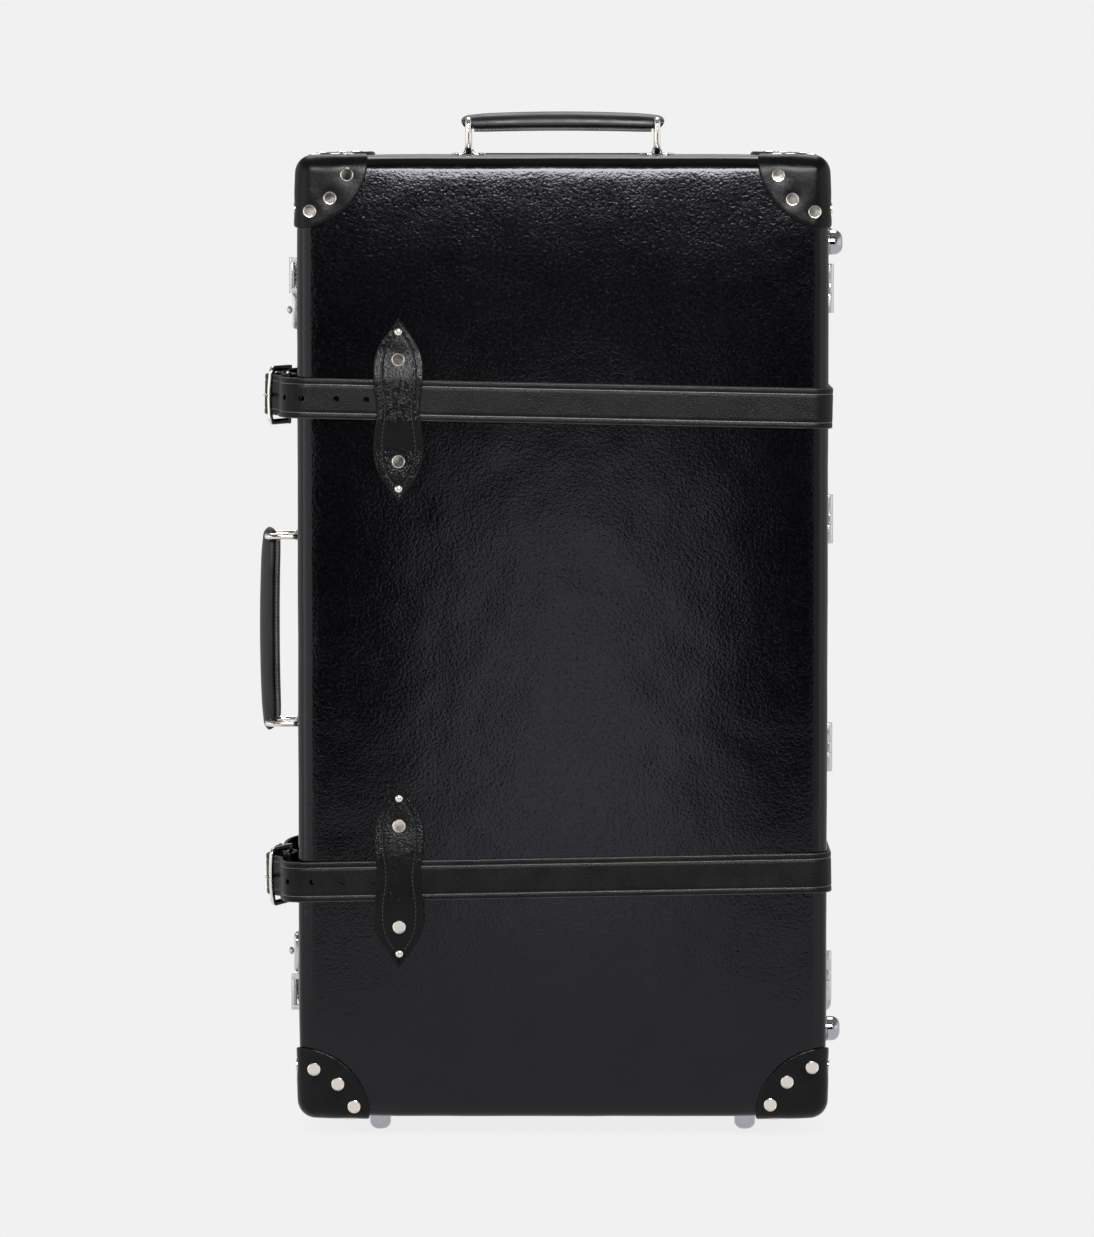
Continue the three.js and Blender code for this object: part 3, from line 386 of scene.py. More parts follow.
class Mesh:
    """Points and faces gathered from several shapes before they become one piece."""

    def __init__(self):
        self.points = []
        self.faces = []
        self.slots = []

    def add(self, points, faces, slot=0, place=np.asarray):
        """Slot is one number for all the faces, or a list with one for each."""
        start = len(self.points)
        self.points.extend(np.asarray(place(points), float).tolist())
        self.faces.extend([[index + start for index in face] for face in faces])
        self.slots.extend(slot if isinstance(slot, list) else [slot] * len(faces))
        return self


def placed(name, data):
    obj = bpy.data.objects.new(name, data)
    bpy.context.scene.collection.objects.link(obj)
    return obj


def mesh_data(name, mesh):
    """Blender's data for gathered points and faces, with the faces turned outward."""
    data = bpy.data.meshes.new(name)
    data.from_pydata([tuple(point) for point in world(mesh.points)], [], mesh.faces)
    for polygon, index in zip(data.polygons, mesh.slots):
        polygon.material_index = index
    turned = bmesh.new()
    turned.from_mesh(data)
    bmesh.ops.recalc_face_normals(turned, faces=turned.faces)
    turned.to_mesh(data)
    turned.free()
    return data


def dress(data, materials):
    for material in materials if isinstance(materials, list) else [materials]:
        data.materials.append(material)


def make(name, mesh, materials, body, slot, replaces=(), sharp=40, cutters=()):
    obj = placed(name, mesh_data(name, mesh))
    dress(obj.data, materials)
    for cutter in cutters:
        carve(obj, cutter)
    finish_piece(obj, body, replaces, sharp)


def finish_piece(obj, body, replaces, sharp):
    obj.data.polygons.foreach_set("use_smooth", [True] * len(obj.data.polygons))
    obj.data.set_sharp_from_angle(angle=math.radians(sharp))
    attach(obj, body)
    if replaces:
        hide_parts(*replaces)


def carve(obj, cutter_mesh):
    """Cuts a closed shape out of a piece."""
    cutter = placed("cutter", mesh_data("cutter", cutter_mesh))
    cut = obj.modifiers.new("cut", "BOOLEAN")
    cut.operation = "DIFFERENCE"
    cut.solver = "EXACT"
    cut.object = cutter
    bpy.context.view_layer.update()
    depsgraph = bpy.context.evaluated_depsgraph_get()
    result = bpy.data.meshes.new_from_object(obj.evaluated_get(depsgraph))
    obj.modifiers.clear()
    obj.data = result
    bpy.data.objects.remove(cutter)


def loft(rings, closed=False, cap=True):
    """Skin over equal rings of points."""
    rings = np.asarray(rings, float)
    count, size = rings.shape[:2]
    faces = []
    for i in range(count if closed else count - 1):
        after = (i + 1) % count
        for j in range(size):
            side = (j + 1) % size
            faces.append([i * size + j, i * size + side, after * size + side, after * size + j])
    if cap and not closed:
        faces.append(list(range(size))[::-1])
        faces.append([(count - 1) * size + j for j in range(size)])
    return rings.reshape(-1, 3), faces


def circle(radius, sides):
    angles = np.linspace(0, 2 * math.pi, sides, endpoint=False)
    return np.stack([radius * np.cos(angles), radius * np.sin(angles)], 1)


def rounded_rectangle(width, height, radius, steps=6):
    radius = max(radius, 0.01)
    points = []
    for corner, (sx, sy) in enumerate([(1, 1), (-1, 1), (-1, -1), (1, -1)]):
        middle = np.array([sx * (width / 2 - radius), sy * (height / 2 - radius)])
        for step in range(steps + 1):
            angle = (corner + step / steps) * math.pi / 2
            points.append(middle + radius * np.array([math.cos(angle), math.sin(angle)]))
    return np.array(points)


def bezier(controls, steps):
    p0, p1, p2, p3 = [np.array(p, float) for p in controls]
    t = np.linspace(0, 1, steps + 1)[:, None]
    return (1 - t) ** 3 * p0 + 3 * (1 - t) ** 2 * t * p1 + 3 * (1 - t) * t * t * p2 + t ** 3 * p3


def arc(middle, radius, start, end, steps):
    angles = np.radians(np.linspace(start, end, steps + 1))
    return np.array(middle) + radius * np.stack([np.cos(angles), np.sin(angles)], 1)


def chain(*stretches):
    """Joins stretches of a path and drops points that repeat."""
    points = np.concatenate([np.asarray(s, float) for s in stretches])
    keep = [0]
    for i in range(1, len(points)):
        if np.linalg.norm(points[i] - points[keep[-1]]) > 0.05:
            keep.append(i)
    return points[keep]


def line(start, end, step=6.0):
    count = max(1, int(np.linalg.norm(np.subtract(end, start)) / step))
    return np.linspace(start, end, count + 1)


def reach_along(path):
    """The length of a path from its start to each of its points."""
    return np.concatenate([[0], np.cumsum(np.linalg.norm(np.diff(path, axis=0), axis=1))])


def squared(value):
    """A cosine or sine, swollen so that a round section turns squarish."""
    return np.sign(value) * abs(value) ** (2 / 2.6)


def tangents(path, closed=False):
    if closed:
        steps = np.roll(path, -1, 0) - np.roll(path, 1, 0)
    else:
        steps = np.gradient(path, axis=0)
    return steps / np.linalg.norm(steps, axis=1)[:, None]


class Place:
    """A local frame on a face of the case: a and b lie in the face, c points out of it."""

    def __init__(self, origin, a, b, c):
        self.origin = np.array(origin, float)
        self.axes = np.array([a, b, c], float)

    def __call__(self, points):
        return self.origin + np.asarray(points, float) @ self.axes


def on_left(y, z):
    return Place((-SIDE, y, z), (0, 0, 1), (0, 1, 0), (-1, 0, 0))


def on_right(y, z):
    return Place((SIDE, y, z), (0, 0, -1), (0, 1, 0), (1, 0, 0))


def on_front(x, z):
    return Place((x, 0, z), (1, 0, 0), (0, 0, 1), (0, -1, 0))


def on_top(x, y):
    return Place((x, y, HEIGHT), (1, 0, 0), (0, 1, 0), (0, 0, 1))


def underside(x, y):
    return Place((x, y, 0), (1, 0, 0), (0, -1, 0), (0, 0, -1))


def along(point, normal):
    """A frame whose c axis is the given normal."""
    c = np.array(normal, float)
    c /= np.linalg.norm(c)
    helper = np.array([0, 0, 1.0]) if abs(c[2]) < 0.9 else np.array([1.0, 0, 0])
    a = np.cross(helper, c)
    a /= np.linalg.norm(a)
    return Place(point, a, np.cross(c, a), c)


def domed(rings, first, last):
    """Skin over rings of points, closed to one point at each end."""
    points, faces = loft(rings, cap=False)
    count, size = len(points), len(rings[0])
    for j in range(size):
        after = (j + 1) % size
        faces.append([count, after, j])
        faces.append([count + 1, count - size + j, count - size + after])
    return np.vstack([points, first, last]), faces


def lathe(place, profile, sides=40):
    """Turns a profile of radius and height, which starts and ends on the axis."""
    rings = [
        np.column_stack([circle(radius, sides), np.full(sides, height)]) for radius, height in profile[1:-1]
    ]
    points, faces = domed(rings, [0, 0, profile[0][1]], [0, 0, profile[-1][1]])
    return place(points), faces


def sweep(path, section, up, closed=False):
    """Carries a flat section along a 3-D path; its first axis stays square to up and the path."""
    path = np.asarray(path, float)
    along_path = tangents(path, closed)
    up = np.broadcast_to(np.asarray(up, float), path.shape)
    side = np.cross(along_path, up)
    side /= np.linalg.norm(side, axis=1)[:, None]
    second = np.cross(side, along_path)
    section = np.asarray(section, float)
    rings = (
        path[:, None, :]
        + side[:, None, :] * section[None, :, 0, None]
        + second[:, None, :] * section[None, :, 1, None]
    )
    return loft(rings, closed=closed)


def refined(node_name, name, materials, body, bevel, chooser=None):
    """A copy of a CAD piece with its flats merged and its edges broken."""
    data = frame["nodes"][node_name].data.copy()
    shaped = bmesh.new()
    shaped.from_mesh(data)
    bmesh.ops.remove_doubles(shaped, verts=shaped.verts, dist=2e-6)
    bmesh.ops.dissolve_limit(
        shaped, angle_limit=math.radians(1), verts=shaped.verts, edges=shaped.edges
    )
    sharp = math.radians(50)
    edges = [e for e in shaped.edges if len(e.link_faces) == 2 and e.calc_face_angle(0) > sharp]
    bmesh.ops.bevel(
        shaped, geom=edges, offset=bevel * MM, segments=2, affect="EDGES", profile=0.6, clamp_overlap=True
    )
    shaped.to_mesh(data)
    shaped.free()
    obj = placed(name, data)
    data.materials.clear()
    dress(data, materials)
    if chooser:
        for polygon in data.polygons:
            polygon.material_index = chooser(polygon.center)
    finish_piece(obj, body, (node_name,), 35)


# The body's rounded surface

INNER = HALF - EDGE


def pillow(points, normals):
    """How far the panels fall back toward their edges, along the surface normal."""
    local = np.abs(points - CENTRE)
    fall = np.zeros(len(points))
    for axis in (0, 1, 2):
        facing = normals[:, axis] ** 2
        for other in {0, 1, 2} - {axis}:
            if HALF[other] < PILLOW_REACH * 1.5:
                continue
            inward = INNER[other] - local[:, other]
            fall += facing * (1 - np.minimum(inward / PILLOW_REACH, 1)) ** 2
            fall += ROLL * facing * (1 - np.clip(inward / ROLL_REACH, -1, 1)) ** 2
    return PILLOW * fall / (1 + (fall / PILLOW_LIMIT) ** 8) ** (1 / 8)


def skin(points, offset=0.0, wavy=0.0):
    """Moves points near the body onto its rounded surface, or outside it by an offset."""
    points = np.asarray(points, float)
    local = points - CENTRE
    core = np.clip(local, -INNER, INNER)
    out = local - core
    normals = out / np.maximum(np.linalg.norm(out, axis=1), 1e-9)[:, None]
    surface = CENTRE + core + normals * (EDGE + offset)
    shift = -pillow(surface, normals)
    if wavy:
        wave = [
            noise.noise(Vector(p) / WAVE_LONG) + 0.6 * noise.noise(Vector(p) / WAVE_SHORT + WAVE_SHIFT)
            for p in surface
        ]
        shift = shift + wavy * np.array(wave)
    return surface + normals * shift[:, None], normals


def distance_to_skin(points):
    local = np.abs(points - CENTRE) - INNER
    outside = np.linalg.norm(np.maximum(local, 0), axis=1)
    inside = np.minimum(local.max(1), 0)
    return outside + inside - EDGE


ROUND_PLACES = EDGE * np.tan(np.linspace(0, math.pi / 4, 8))


def spread(low, high):
    """Places across the body, close together where its edges round."""
    flat_low = low + EDGE
    flat_high = high - EDGE
    count = max(2, int((flat_high - flat_low) / TRAY_PITCH))
    return np.concatenate([
        flat_low - ROUND_PLACES[::-1][:-1],
        np.linspace(flat_low, flat_high, count + 1),
        flat_high + ROUND_PLACES[1:],
    ])


def tray_points(front, seam):
    """The five walls of a tray: points on a box and the quads between them. front is the closed end."""
    xs = spread(-SIDE, SIDE)
    zs = spread(0, HEIGHT)
    toward = 1 if seam > front else -1
    start = front + toward * EDGE
    walls = np.linspace(start, seam, max(2, int(abs(seam - start) / TRAY_PITCH)) + 1)
    ys = np.concatenate([start - toward * ROUND_PLACES[::-1][:-1], walls])
    index = {}
    points = []
    quads = []

    def number(point):
        key = tuple(round(value, 4) for value in point)
        if key not in index:
            index[key] = len(points)
            points.append(point)
        return index[key]

    def grid(rows, columns, at):
        for i in range(len(rows) - 1):
            for j in range(len(columns) - 1):
                corners = [(i, j), (i + 1, j), (i + 1, j + 1), (i, j + 1)]
                quads.append([number(at(rows[a], columns[b])) for a, b in corners])

    grid(xs, zs, lambda x, z: (x, front, z))
    for side in (-SIDE, SIDE):
        grid(ys, zs, lambda y, z: (side, y, z))
    for level in (0.0, HEIGHT):
        grid(xs, ys, lambda x, y: (x, y, level))
    return np.array(points), quads


def tray(name, body, front, seam, replaces, cutters=()):
    points, quads = tray_points(front, seam)
    outer, _ = skin(points, 0.0, WAVE)
    inner, _ = skin(points, -WALL)
    flat = np.abs(points[:, 1] - seam) < 0.01
    outer[flat, 1] = seam
    inner[flat, 1] = seam
    size = len(points)
    rounded = np.sum(np.abs(points - CENTRE) > INNER + 0.01, 1) > 1
    bends = [2 if all(rounded[corner] for corner in quad) else 0 for quad in quads]
    mesh = Mesh().add(outer, quads, bends).add(inner, quads, 1)
    used = {}
    for quad in quads:
        for a, b in zip(quad, quad[1:] + quad[:1]):
            used.setdefault(frozenset((a, b)), []).append((a, b))
    rim = [sides[0] for sides in used.values() if len(sides) == 1]
    mesh.faces.extend([[a, b, b + size, a + size] for a, b in rim])
    mesh.slots.extend([0] * len(rim))
    make(name, mesh, [FIBRE, LINING, FIBRE_EDGE], body, "fibreboard", replaces, 45, cutters)


def block(low, high):
    corners = [(x, y, z) for x in (low[0], high[0]) for y in (low[1], high[1]) for z in (low[2], high[2])]
    faces = [[0, 1, 3, 2], [4, 6, 7, 5], [0, 4, 5, 1], [2, 3, 7, 6], [0, 2, 6, 4], [1, 5, 7, 3]]
    return Mesh().add(corners, faces)


def in_case(corner):
    return (np.array(corner) - ORIGIN) / MM


def around(node_name, margin):
    """A block a little larger than a CAD piece, to cut its seat."""
    low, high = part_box(node_name)
    return in_case(low) - margin, in_case(high) + margin


def trays():
    tray("lid_tray", "lid", 0.0, LID_END, ("lid_shell",))
    cutters = []
    for hand, _ in HANDS:
        low, high = around(f"wheel_housing_{hand}", WHEEL_ROOM)
        cutters.append(block((low[0], low[1], -20), (high[0], DEPTH + 20, high[2])))
    cup_low, cup_high = around("pull_handle_housing", 0)
    cutters.append(block(
        (cup_low[0] + CUP_WALL, cup_low[1] + CUP_WALL, HEIGHT - 12),
        (cup_high[0] - CUP_WALL, DEPTH - 13.2, HEIGHT + 9),
    ))
    tray("base_tray", "base", DEPTH, LID_END + SEAM, ("base_shell",), cutters)
    lip = []
    for inset, level in LIP_PROFILE:
        outline = rounded_rectangle(WIDTH - 2 * inset, HEIGHT - 2 * inset, EDGE - inset + 2, 6)
        lip.append(np.column_stack([outline[:, 0], np.full(len(outline), level), outline[:, 1] + MIDDLE]))
    make("frame_lip", Mesh().add(*loft(lip, closed=True)), MOULDED, "base", "moulding", sharp=30)


# Leather corners

# Each rivet's distances from the corner along the two edges of its face. The front has its own on the lid.
RIVET_SPOTS = {
    ("left", "top"): ((40.0, 14.2), (26.6, 32.6), (10.6, 43.0)),
    ("right", "top"): ((40.2, 14.8), (29.0, 33.6), (11.6, 43.4)),
    ("left", "bottom"): ((12.2, 39.2), (31.2, 27.4), (44.0, 9.4)),
    ("right", "bottom"): ((11.6, 40.8), (31.4, 29.2), (44.6, 11.0)),
}
PLAIN_SPOTS = ((41.0, 14.0), (30.0, 30.0), (14.0, 41.0))


def cap_template():
    """Rings of points of the corner cap at +x, -y and +z, and the tips that close it outside and inside."""
    signs = np.array([1.0, -1.0, 1.0])
    corner = CENTRE + HALF * signs
    axis = signs / math.sqrt(3)
    root = corner - axis * CAP_ROOT
    a = np.cross(axis, [0, 0, 1.0])
    a /= np.linalg.norm(a)
    b = np.cross(axis, a)
    turns = np.linspace(0, 2 * math.pi, CAP_TURNS, endpoint=False)
    flat = np.cos(turns)[:, None] * a + np.sin(turns)[:, None] * b

    def search(high, rounds, past):
        """The largest value of each turn that isn't past its limit, found by halving."""
        low = np.zeros(CAP_TURNS)
        high = np.full(CAP_TURNS, high)
        for _ in range(rounds):
            middle = (low + high) / 2
            over = past(middle)
            high = np.where(over, middle, high)
            low = np.where(over, low, middle)
        return low

    def hit(tilt, offset):
        """Where rays from the root, tilted away from the corner, meet the offset surface."""
        way = np.cos(tilt)[:, None] * axis + np.sin(tilt)[:, None] * flat

        def at(distance):
            return root + way * distance[:, None]

        return at(search(220.0, 34, lambda distance: distance_to_skin(at(distance)) > offset))

    def ring(reach, offset):
        """The points of the offset surface at one distance from the corner."""
        def past(tilt):
            return np.linalg.norm(hit(tilt, offset) - corner, axis=1) > reach

        return hit(search(2.2, 26, past), offset)

    nearest = np.linalg.norm(hit(np.zeros(CAP_TURNS), CAP_THICK)[0] - corner)
    profile = []
    for step in range(1, CAP_RINGS + 1):
        share = (step / CAP_RINGS) ** 1.25
        profile.append((nearest + (CAP_REACH - 1.3 - nearest) * share, CAP_THICK - 0.35 * share ** 3))
    profile += [(CAP_REACH - 0.7, 2.5), (CAP_REACH - 0.2, 2.05), (CAP_REACH, 1.4)]
    profile += [(CAP_REACH - 0.1, CAP_LIFT)]
    profile += [(CAP_REACH * share, CAP_LIFT) for share in (0.8, 0.5, 0.25)]
    rings = [ring(reach, offset) for reach, offset in profile]
    apex = [hit(np.zeros(CAP_TURNS), offset)[0] for offset in (CAP_THICK, CAP_LIFT)]
    return rings, apex


def corner_caps():
    rings, apex = cap_template()
    points, faces = domed(rings, *apex)
    for half, sy in (("lid", 1), ("base", -1)):
        for level, sz in (("bottom", -1), ("top", 1)):
            for hand, sx in HANDS:
                corner_cap(half, level, hand, points, faces, np.array([sx, sy, sz]))


def corner_cap(half, level, hand, points, faces, flips):
    mirrored = CENTRE + (points - CENTRE) * flips
    outward = flips * np.array([1, -1, 1])
    corner = CENTRE + HALF * outward
    _, normals = skin(mirrored)
    front_spots = RIVET_SPOTS[(hand, level)] if half == "lid" else PLAIN_SPOTS
    spots = []
    for axis, others in ((1, (0, 2)), (0, (1, 2)), (2, (0, 1))):
        normal = np.zeros(3)
        normal[axis] = outward[axis]
        for u, v in front_spots if axis == 1 else PLAIN_SPOTS:
            spot = corner.copy()
            spot[others[0]] -= outward[others[0]] * u
            spot[others[1]] -= outward[others[1]] * v
            spots.append((spot, normal))
    shift = -pillow(mirrored, normals)
    offsets = distance_to_skin(mirrored)
    thick = np.clip(offsets / CAP_THICK, 0, 1)
    for spot, normal in spots:
        near = np.linalg.norm(mirrored - spot - normal * CAP_THICK, axis=1)
        shift -= RIVET_SINK * thick * np.exp(-((near / RIVET_DIMPLE) ** 2)) * (normals @ normal > 0.5)
    swell = [noise.noise(Vector(p) / 21 + Vector(corner)) for p in mirrored]
    shift += CAP_SWELL * thick * np.array(swell)
    mesh = Mesh().add(mirrored + normals * shift[:, None], faces)
    node_name = f"{half}_corner_{level}_{hand}"
    make(f"{half}_leather_{level}_{hand}", mesh, CORNER, half, "corner_leather", (node_name,), 50)
    rivets = Mesh()
    for spot, normal in spots:
        base = spot - normal * float(pillow(spot[None], normal[None])[0])
        lean = normal + np.array([random.uniform(-RIVET_LEAN, RIVET_LEAN) for _ in range(3)])
        rivets.add(*flat_rivet(along(base, lean), CAP_THICK - RIVET_SINK))
    make(f"{half}_rivets_{level}_{hand}", rivets, RIVET, half, "nickel", sharp=10)


def flat_rivet(place, seat, radius=RIVET_RADIUS, rise=RIVET_RISE):
    """A flat disc with a bevelled edge and a faint hollow."""
    top = seat + rise
    profile = [
        (0, seat - 0.8), (radius * 0.9, seat - 0.8), (radius, seat - 0.3), (radius, top - 0.45),
        (radius * 0.97, top - 0.18), (radius * 0.9, top), (radius * 0.86, top - 0.02),
        (radius * 0.83, top - 0.12), (radius * 0.4, top - 0.15), (0, top - 0.16),
    ]
    return lathe(place, profile, 32)


def domed_nail(place, seat, radius):
    profile = [(0, seat - 0.5)]
    for step in range(7):
        angle = step / 6 * math.pi / 2
        profile.append((radius * math.cos(angle) * 0.999 + 0.001, seat + 1.3 * math.sin(angle)))
    profile[-1] = (0.25, seat + 1.3)
    profile.append((0, seat + 1.31))
    return lathe(place, profile, 24)


# Straps

# The sides of the strap's section that are its cut edges, and those in its crease grooves, which get a
# lighter leather as a painted highlight
STRAP_EDGES = {18, 19, 20, 21, 30, 31, 32, 33}
CREASE_HIGHLIGHT_SIDES = {3, 14}


def strap_section(width=STRAP_WIDTH, thick=STRAP_THICK, crease=CREASE_INSET):
    """Outline of a strap, outer face first: out of the strap, then across it.

    Creases run inside its edges."""
    half = width / 2
    outer = thick / 2
    crease_at = half - crease
    across = [half - 0.9, half - 2.6] + [crease_at + away for away in (0.75, 0.3, -0.3, -0.75)]
    drop = [0.0, 0.02, 0.0, 0.3, 0.3, 0.0]
    section = [(outer - d, -w) for w, d in zip(across, drop)]
    section += [(outer, w) for w in np.linspace(-half + crease + 3, half - crease - 3, 7)]
    section += [(outer - d, w) for w, d in zip(across[::-1], drop[::-1])]
    section += [(outer - 0.3, half - 0.25), (0.4, half), (-0.5, half), (-outer + 0.25, half - 0.3)]
    section += [(-outer, w) for w in np.linspace(half - 1, -half + 1, 7)]
    section += [(-outer + 0.25, -half + 0.3), (-0.5, -half), (0.4, -half), (outer - 0.3, -half + 0.25)]
    return np.array(section)


def ribbon(path, section, hand=-1):
    """Carries a strap section along a path in plan, its outer face to the left of the path, or right for 1.

    Its edges have the second finish, and its creases the third: a lighter leather that paints the highlight
    along them."""
    path = np.asarray(path, float)
    way = tangents(path)
    normals = hand * np.stack([way[:, 1], -way[:, 0]], 1)
    rings = []
    for point, normal in zip(path, normals):
        ring = np.zeros((len(section), 3))
        ring[:, :2] = point + section[:, :1] * normal
        ring[:, 2] = section[:, 1]
        rings.append(ring)
    points, faces = loft(rings)
    size = len(section)
    finish_and_highlight = [2 if side in CREASE_HIGHLIGHT_SIDES else 1 if side in STRAP_EDGES else 0 for side in range(size)]
    slots = [finish_and_highlight[index % size] for index in range(len(faces) - 2)] + [1, 1]
    return points, faces, slots


def tilted(points, level):
    """From a strap's own frame to the case frame."""
    rise, tilt = STRAPS[level]
    points = np.asarray(points, float)
    turned = points.copy()
    turned[:, 0] = points[:, 0] * math.cos(tilt) + points[:, 2] * math.sin(tilt)
    turned[:, 2] = -points[:, 0] * math.sin(tilt) + points[:, 2] * math.cos(tilt)
    return turned + np.array([0, 0, MIDDLE + rise])


BEND = EDGE + STRAP_LINE
REAR_STOP = DEPTH - EDGE - 10


def front_path():
    return chain(
        line((SIDE + STRAP_LINE, LID_END - 0.3), (SIDE + STRAP_LINE, EDGE), 5),
        arc((SIDE - EDGE, EDGE), BEND, 0, -90, 12),
        line((SIDE - EDGE, -STRAP_LINE), (STRAP_TURN, -STRAP_LINE), 4),
    )


def rear_path():
    return chain(
        line((SIDE + STRAP_LINE, LID_END + 0.9), (SIDE + STRAP_LINE, DEPTH - EDGE), 6),
        arc((SIDE - EDGE, DEPTH - EDGE), BEND, 0, 90, 12),
        line((SIDE - EDGE, DEPTH + STRAP_LINE), (EDGE - SIDE, DEPTH + STRAP_LINE), 5),
        arc((EDGE - SIDE, DEPTH - EDGE), BEND, 90, 180, 12),
        line((-SIDE - STRAP_LINE, DEPTH - EDGE), (-SIDE - STRAP_LINE, REAR_STOP + 0.2), 4),
    )


BOW_X = -SIDE - STRAP_BOW
OVER_X = BOW_X - STRAP_LAYER
BAR_SPAN = (BUCKLE_LENGTH - BUCKLE_BAR) / 2
BUCKLE_RUN = np.array([math.sin(BUCKLE_SLANT), math.cos(BUCKLE_SLANT)])
BUCKLE_MIDDLE = np.array([BOW_X, BUCKLE_PLACE])
HEEL = BUCKLE_MIDDLE + BAR_SPAN * BUCKLE_RUN
FRONT_BAR = BUCKLE_MIDDLE - BAR_SPAN * BUCKLE_RUN


def tail_path():
    """From the lid's front round the corner, under the buckle's front bar, over its heel and the keeper."""
    under_bar = (BOW_X + 1.0, FRONT_BAR[1])
    crest = (OVER_X - STRAP_BULGE, HEEL[1] + 1)
    return chain(
        bezier([(STRAP_TURN, -STRAP_LINE), (-SIDE - 9, -STRAP_LINE), (BOW_X + 1.6, 8), under_bar], 20),
        bezier([under_bar, (BOW_X + 0.6, 46), (crest[0], 52), crest], 14),
        bezier([crest, (crest[0], 80), (OVER_X, 84), (OVER_X, KEEPER_PLACE + 2)], 12),
        line((OVER_X, KEEPER_PLACE + 2), (OVER_X, TIP_START), 4),
        line((OVER_X, TIP_START), (OVER_X, STRAP_TAIL_END), 1.0),
    )


def under_path():
    side = -SIDE - STRAP_LINE
    start = (HEEL[0] + 0.6, HEEL[1] + 3.4)
    return chain(
        bezier([start, (HEEL[0], 80), (BOW_X, 80), (BOW_X, KEEPER_PLACE)], 10),
        line((BOW_X, KEEPER_PLACE), (BOW_X, STRAP_TAIL_END - 12), 5),
        bezier([
            (BOW_X, STRAP_TAIL_END - 12), (BOW_X, REAR_STOP - 14), (side, REAR_STOP - 14), (side, REAR_STOP),
        ], 14),
    )


def pointed(points):
    """Narrows a ribbon to a rounded point toward its end."""
    share = np.clip((points[:, 1] - TIP_START) / (STRAP_TAIL_END - TIP_START), 0, 1)
    width = np.sqrt(np.maximum(1 - share ** 2.1, 0.0006))
    return np.column_stack([points[:, 0], points[:, 1], points[:, 2] * width])


def hole_cutter(level, x, y, normal):
    spot = tilted(np.array([[x, y, 0.0]]), level)[0]
    return Mesh().add(*lathe(along(spot, normal), [(0, -6), (2.3, -6), (2.3, 6), (0, 6)], 20))


# The strap leather, its edge leather, and the lighter crease leather that is a painted highlight
STRAP_FINISHES_AND_HIGHLIGHT = [BELT, BURNISHED, CREASE_HIGHLIGHT]


def add_strap(mesh, path, section, level, shape=np.asarray, hand=-1):
    """Adds a stretch of strap. Shape changes its points in the strap's own frame."""
    points, faces, trim = ribbon(path, section, hand)
    return mesh.add(tilted(shape(points), level), faces, trim)


def make_strap(name, mesh, body, *rest, **options):
    make(name, mesh, STRAP_FINISHES_AND_HIGHLIGHT, body, "strap_leather", *rest, sharp=60, **options)


def straps():
    section = strap_section()
    for level, _ in LEVELS:
        holes = [
            hole_cutter(level, x, -STRAP_LINE, (0, -1, 0))
            for x in HOLE_PLACES[level] if x > FRONT_HOLES_FROM
        ]
        front = add_strap(Mesh(), front_path(), section, level)
        make_strap(f"{level}_strap_run", front, "lid", (f"{level}_strap_front",), cutters=holes)
        rear = add_strap(Mesh(), rear_path(), section, level, hand=1)
        make_strap(f"{level}_strap_back", rear, "base", (f"{level}_strap_rear",))
        side_strap(level, section)


def side_strap(level, section):
    body = f"{level}_side_strap"
    tail = tail_path()
    cutters = []
    arc_length = reach_along(tail)
    way = tangents(tail)

    def punch(i):
        cutters.append(hole_cutter(level, *tail[i], (way[i][1], -way[i][0], 0)))

    for place in HOLE_PLACES[level]:
        if place <= FRONT_HOLES_FROM:
            punch(int(np.searchsorted(arc_length, STRAP_TURN - place + 4)))
    for extra in TAIL_HOLES:
        cutters.append(hole_cutter(level, OVER_X, extra, (-1, 0, 0)))
    punch(int(np.argmin(np.abs(tail[:, 1] - PRONG_HOLE))))
    mesh = add_strap(Mesh(), tail, section, level, pointed)
    make_strap(f"{level}_strap_tail", mesh, body, (f"{level}_strap_side",), cutters=cutters)

    under = add_strap(Mesh(), under_path(), section, level)
    inner = BUCKLE_THICK / 2 + 0.4
    turn = chain(
        arc(HEEL, inner + STRAP_THICK / 2, 75, 290, 18),
        line(HEEL + [inner * 0.9, -inner], (HEEL[0] + 5.2, 84), 3),
        line((HEEL[0] + 5.2, 84), (BOW_X + STRAP_THICK + 0.4, 104), 4),
    )
    for low, high in ((-STRAP_WIDTH / 2, -PRONG_SLOT), (PRONG_SLOT, STRAP_WIDTH / 2)):
        half = strap_section(high - low, STRAP_THICK - 0.4, 3.0)
        add_strap(under, turn, half, level, lambda points: points + [0, 0, (low + high) / 2])
    make_strap(f"{level}_strap_under", under, body)
    keeper(level, body)


def keeper(level, body):
    """A narrow loop round both layers."""
    deep = 2 * STRAP_THICK + 1.0 + 2.6
    path = rounded_rectangle(deep, STRAP_WIDTH + 3.0, 2.4, 5)
    centre_x = (BOW_X + OVER_X) / 2
    loop = np.column_stack([
        path[:, 0] + centre_x, np.full(len(path), KEEPER_PLACE + KEEPER_WIDTH / 2), path[:, 1]
    ])
    half = KEEPER_WIDTH / 2
    section = [(-0.7, -half), (0.5, -half), (1.0, 0.6 - half), (1.05, 2.2 - half), (0.75, 2.7 - half)]
    section += [(out, -across) for out, across in section[::-1]]
    section = np.array(section)
    across = np.array([0, 1.0, 0])
    out = np.cross(across, tangents(loop, True))
    if ((loop - loop.mean(0)) * out).sum() < 0:
        out = -out
    rings = loop[:, None] + out[:, None] * section[None, :, 0, None] + across * section[None, :, 1, None]
    points, faces = loft(rings, closed=True)
    mesh = Mesh().add(tilted(points, level), faces)
    make(f"{level}_keeper", mesh, BELT, body, "strap_leather", sharp=50)


# Buckles

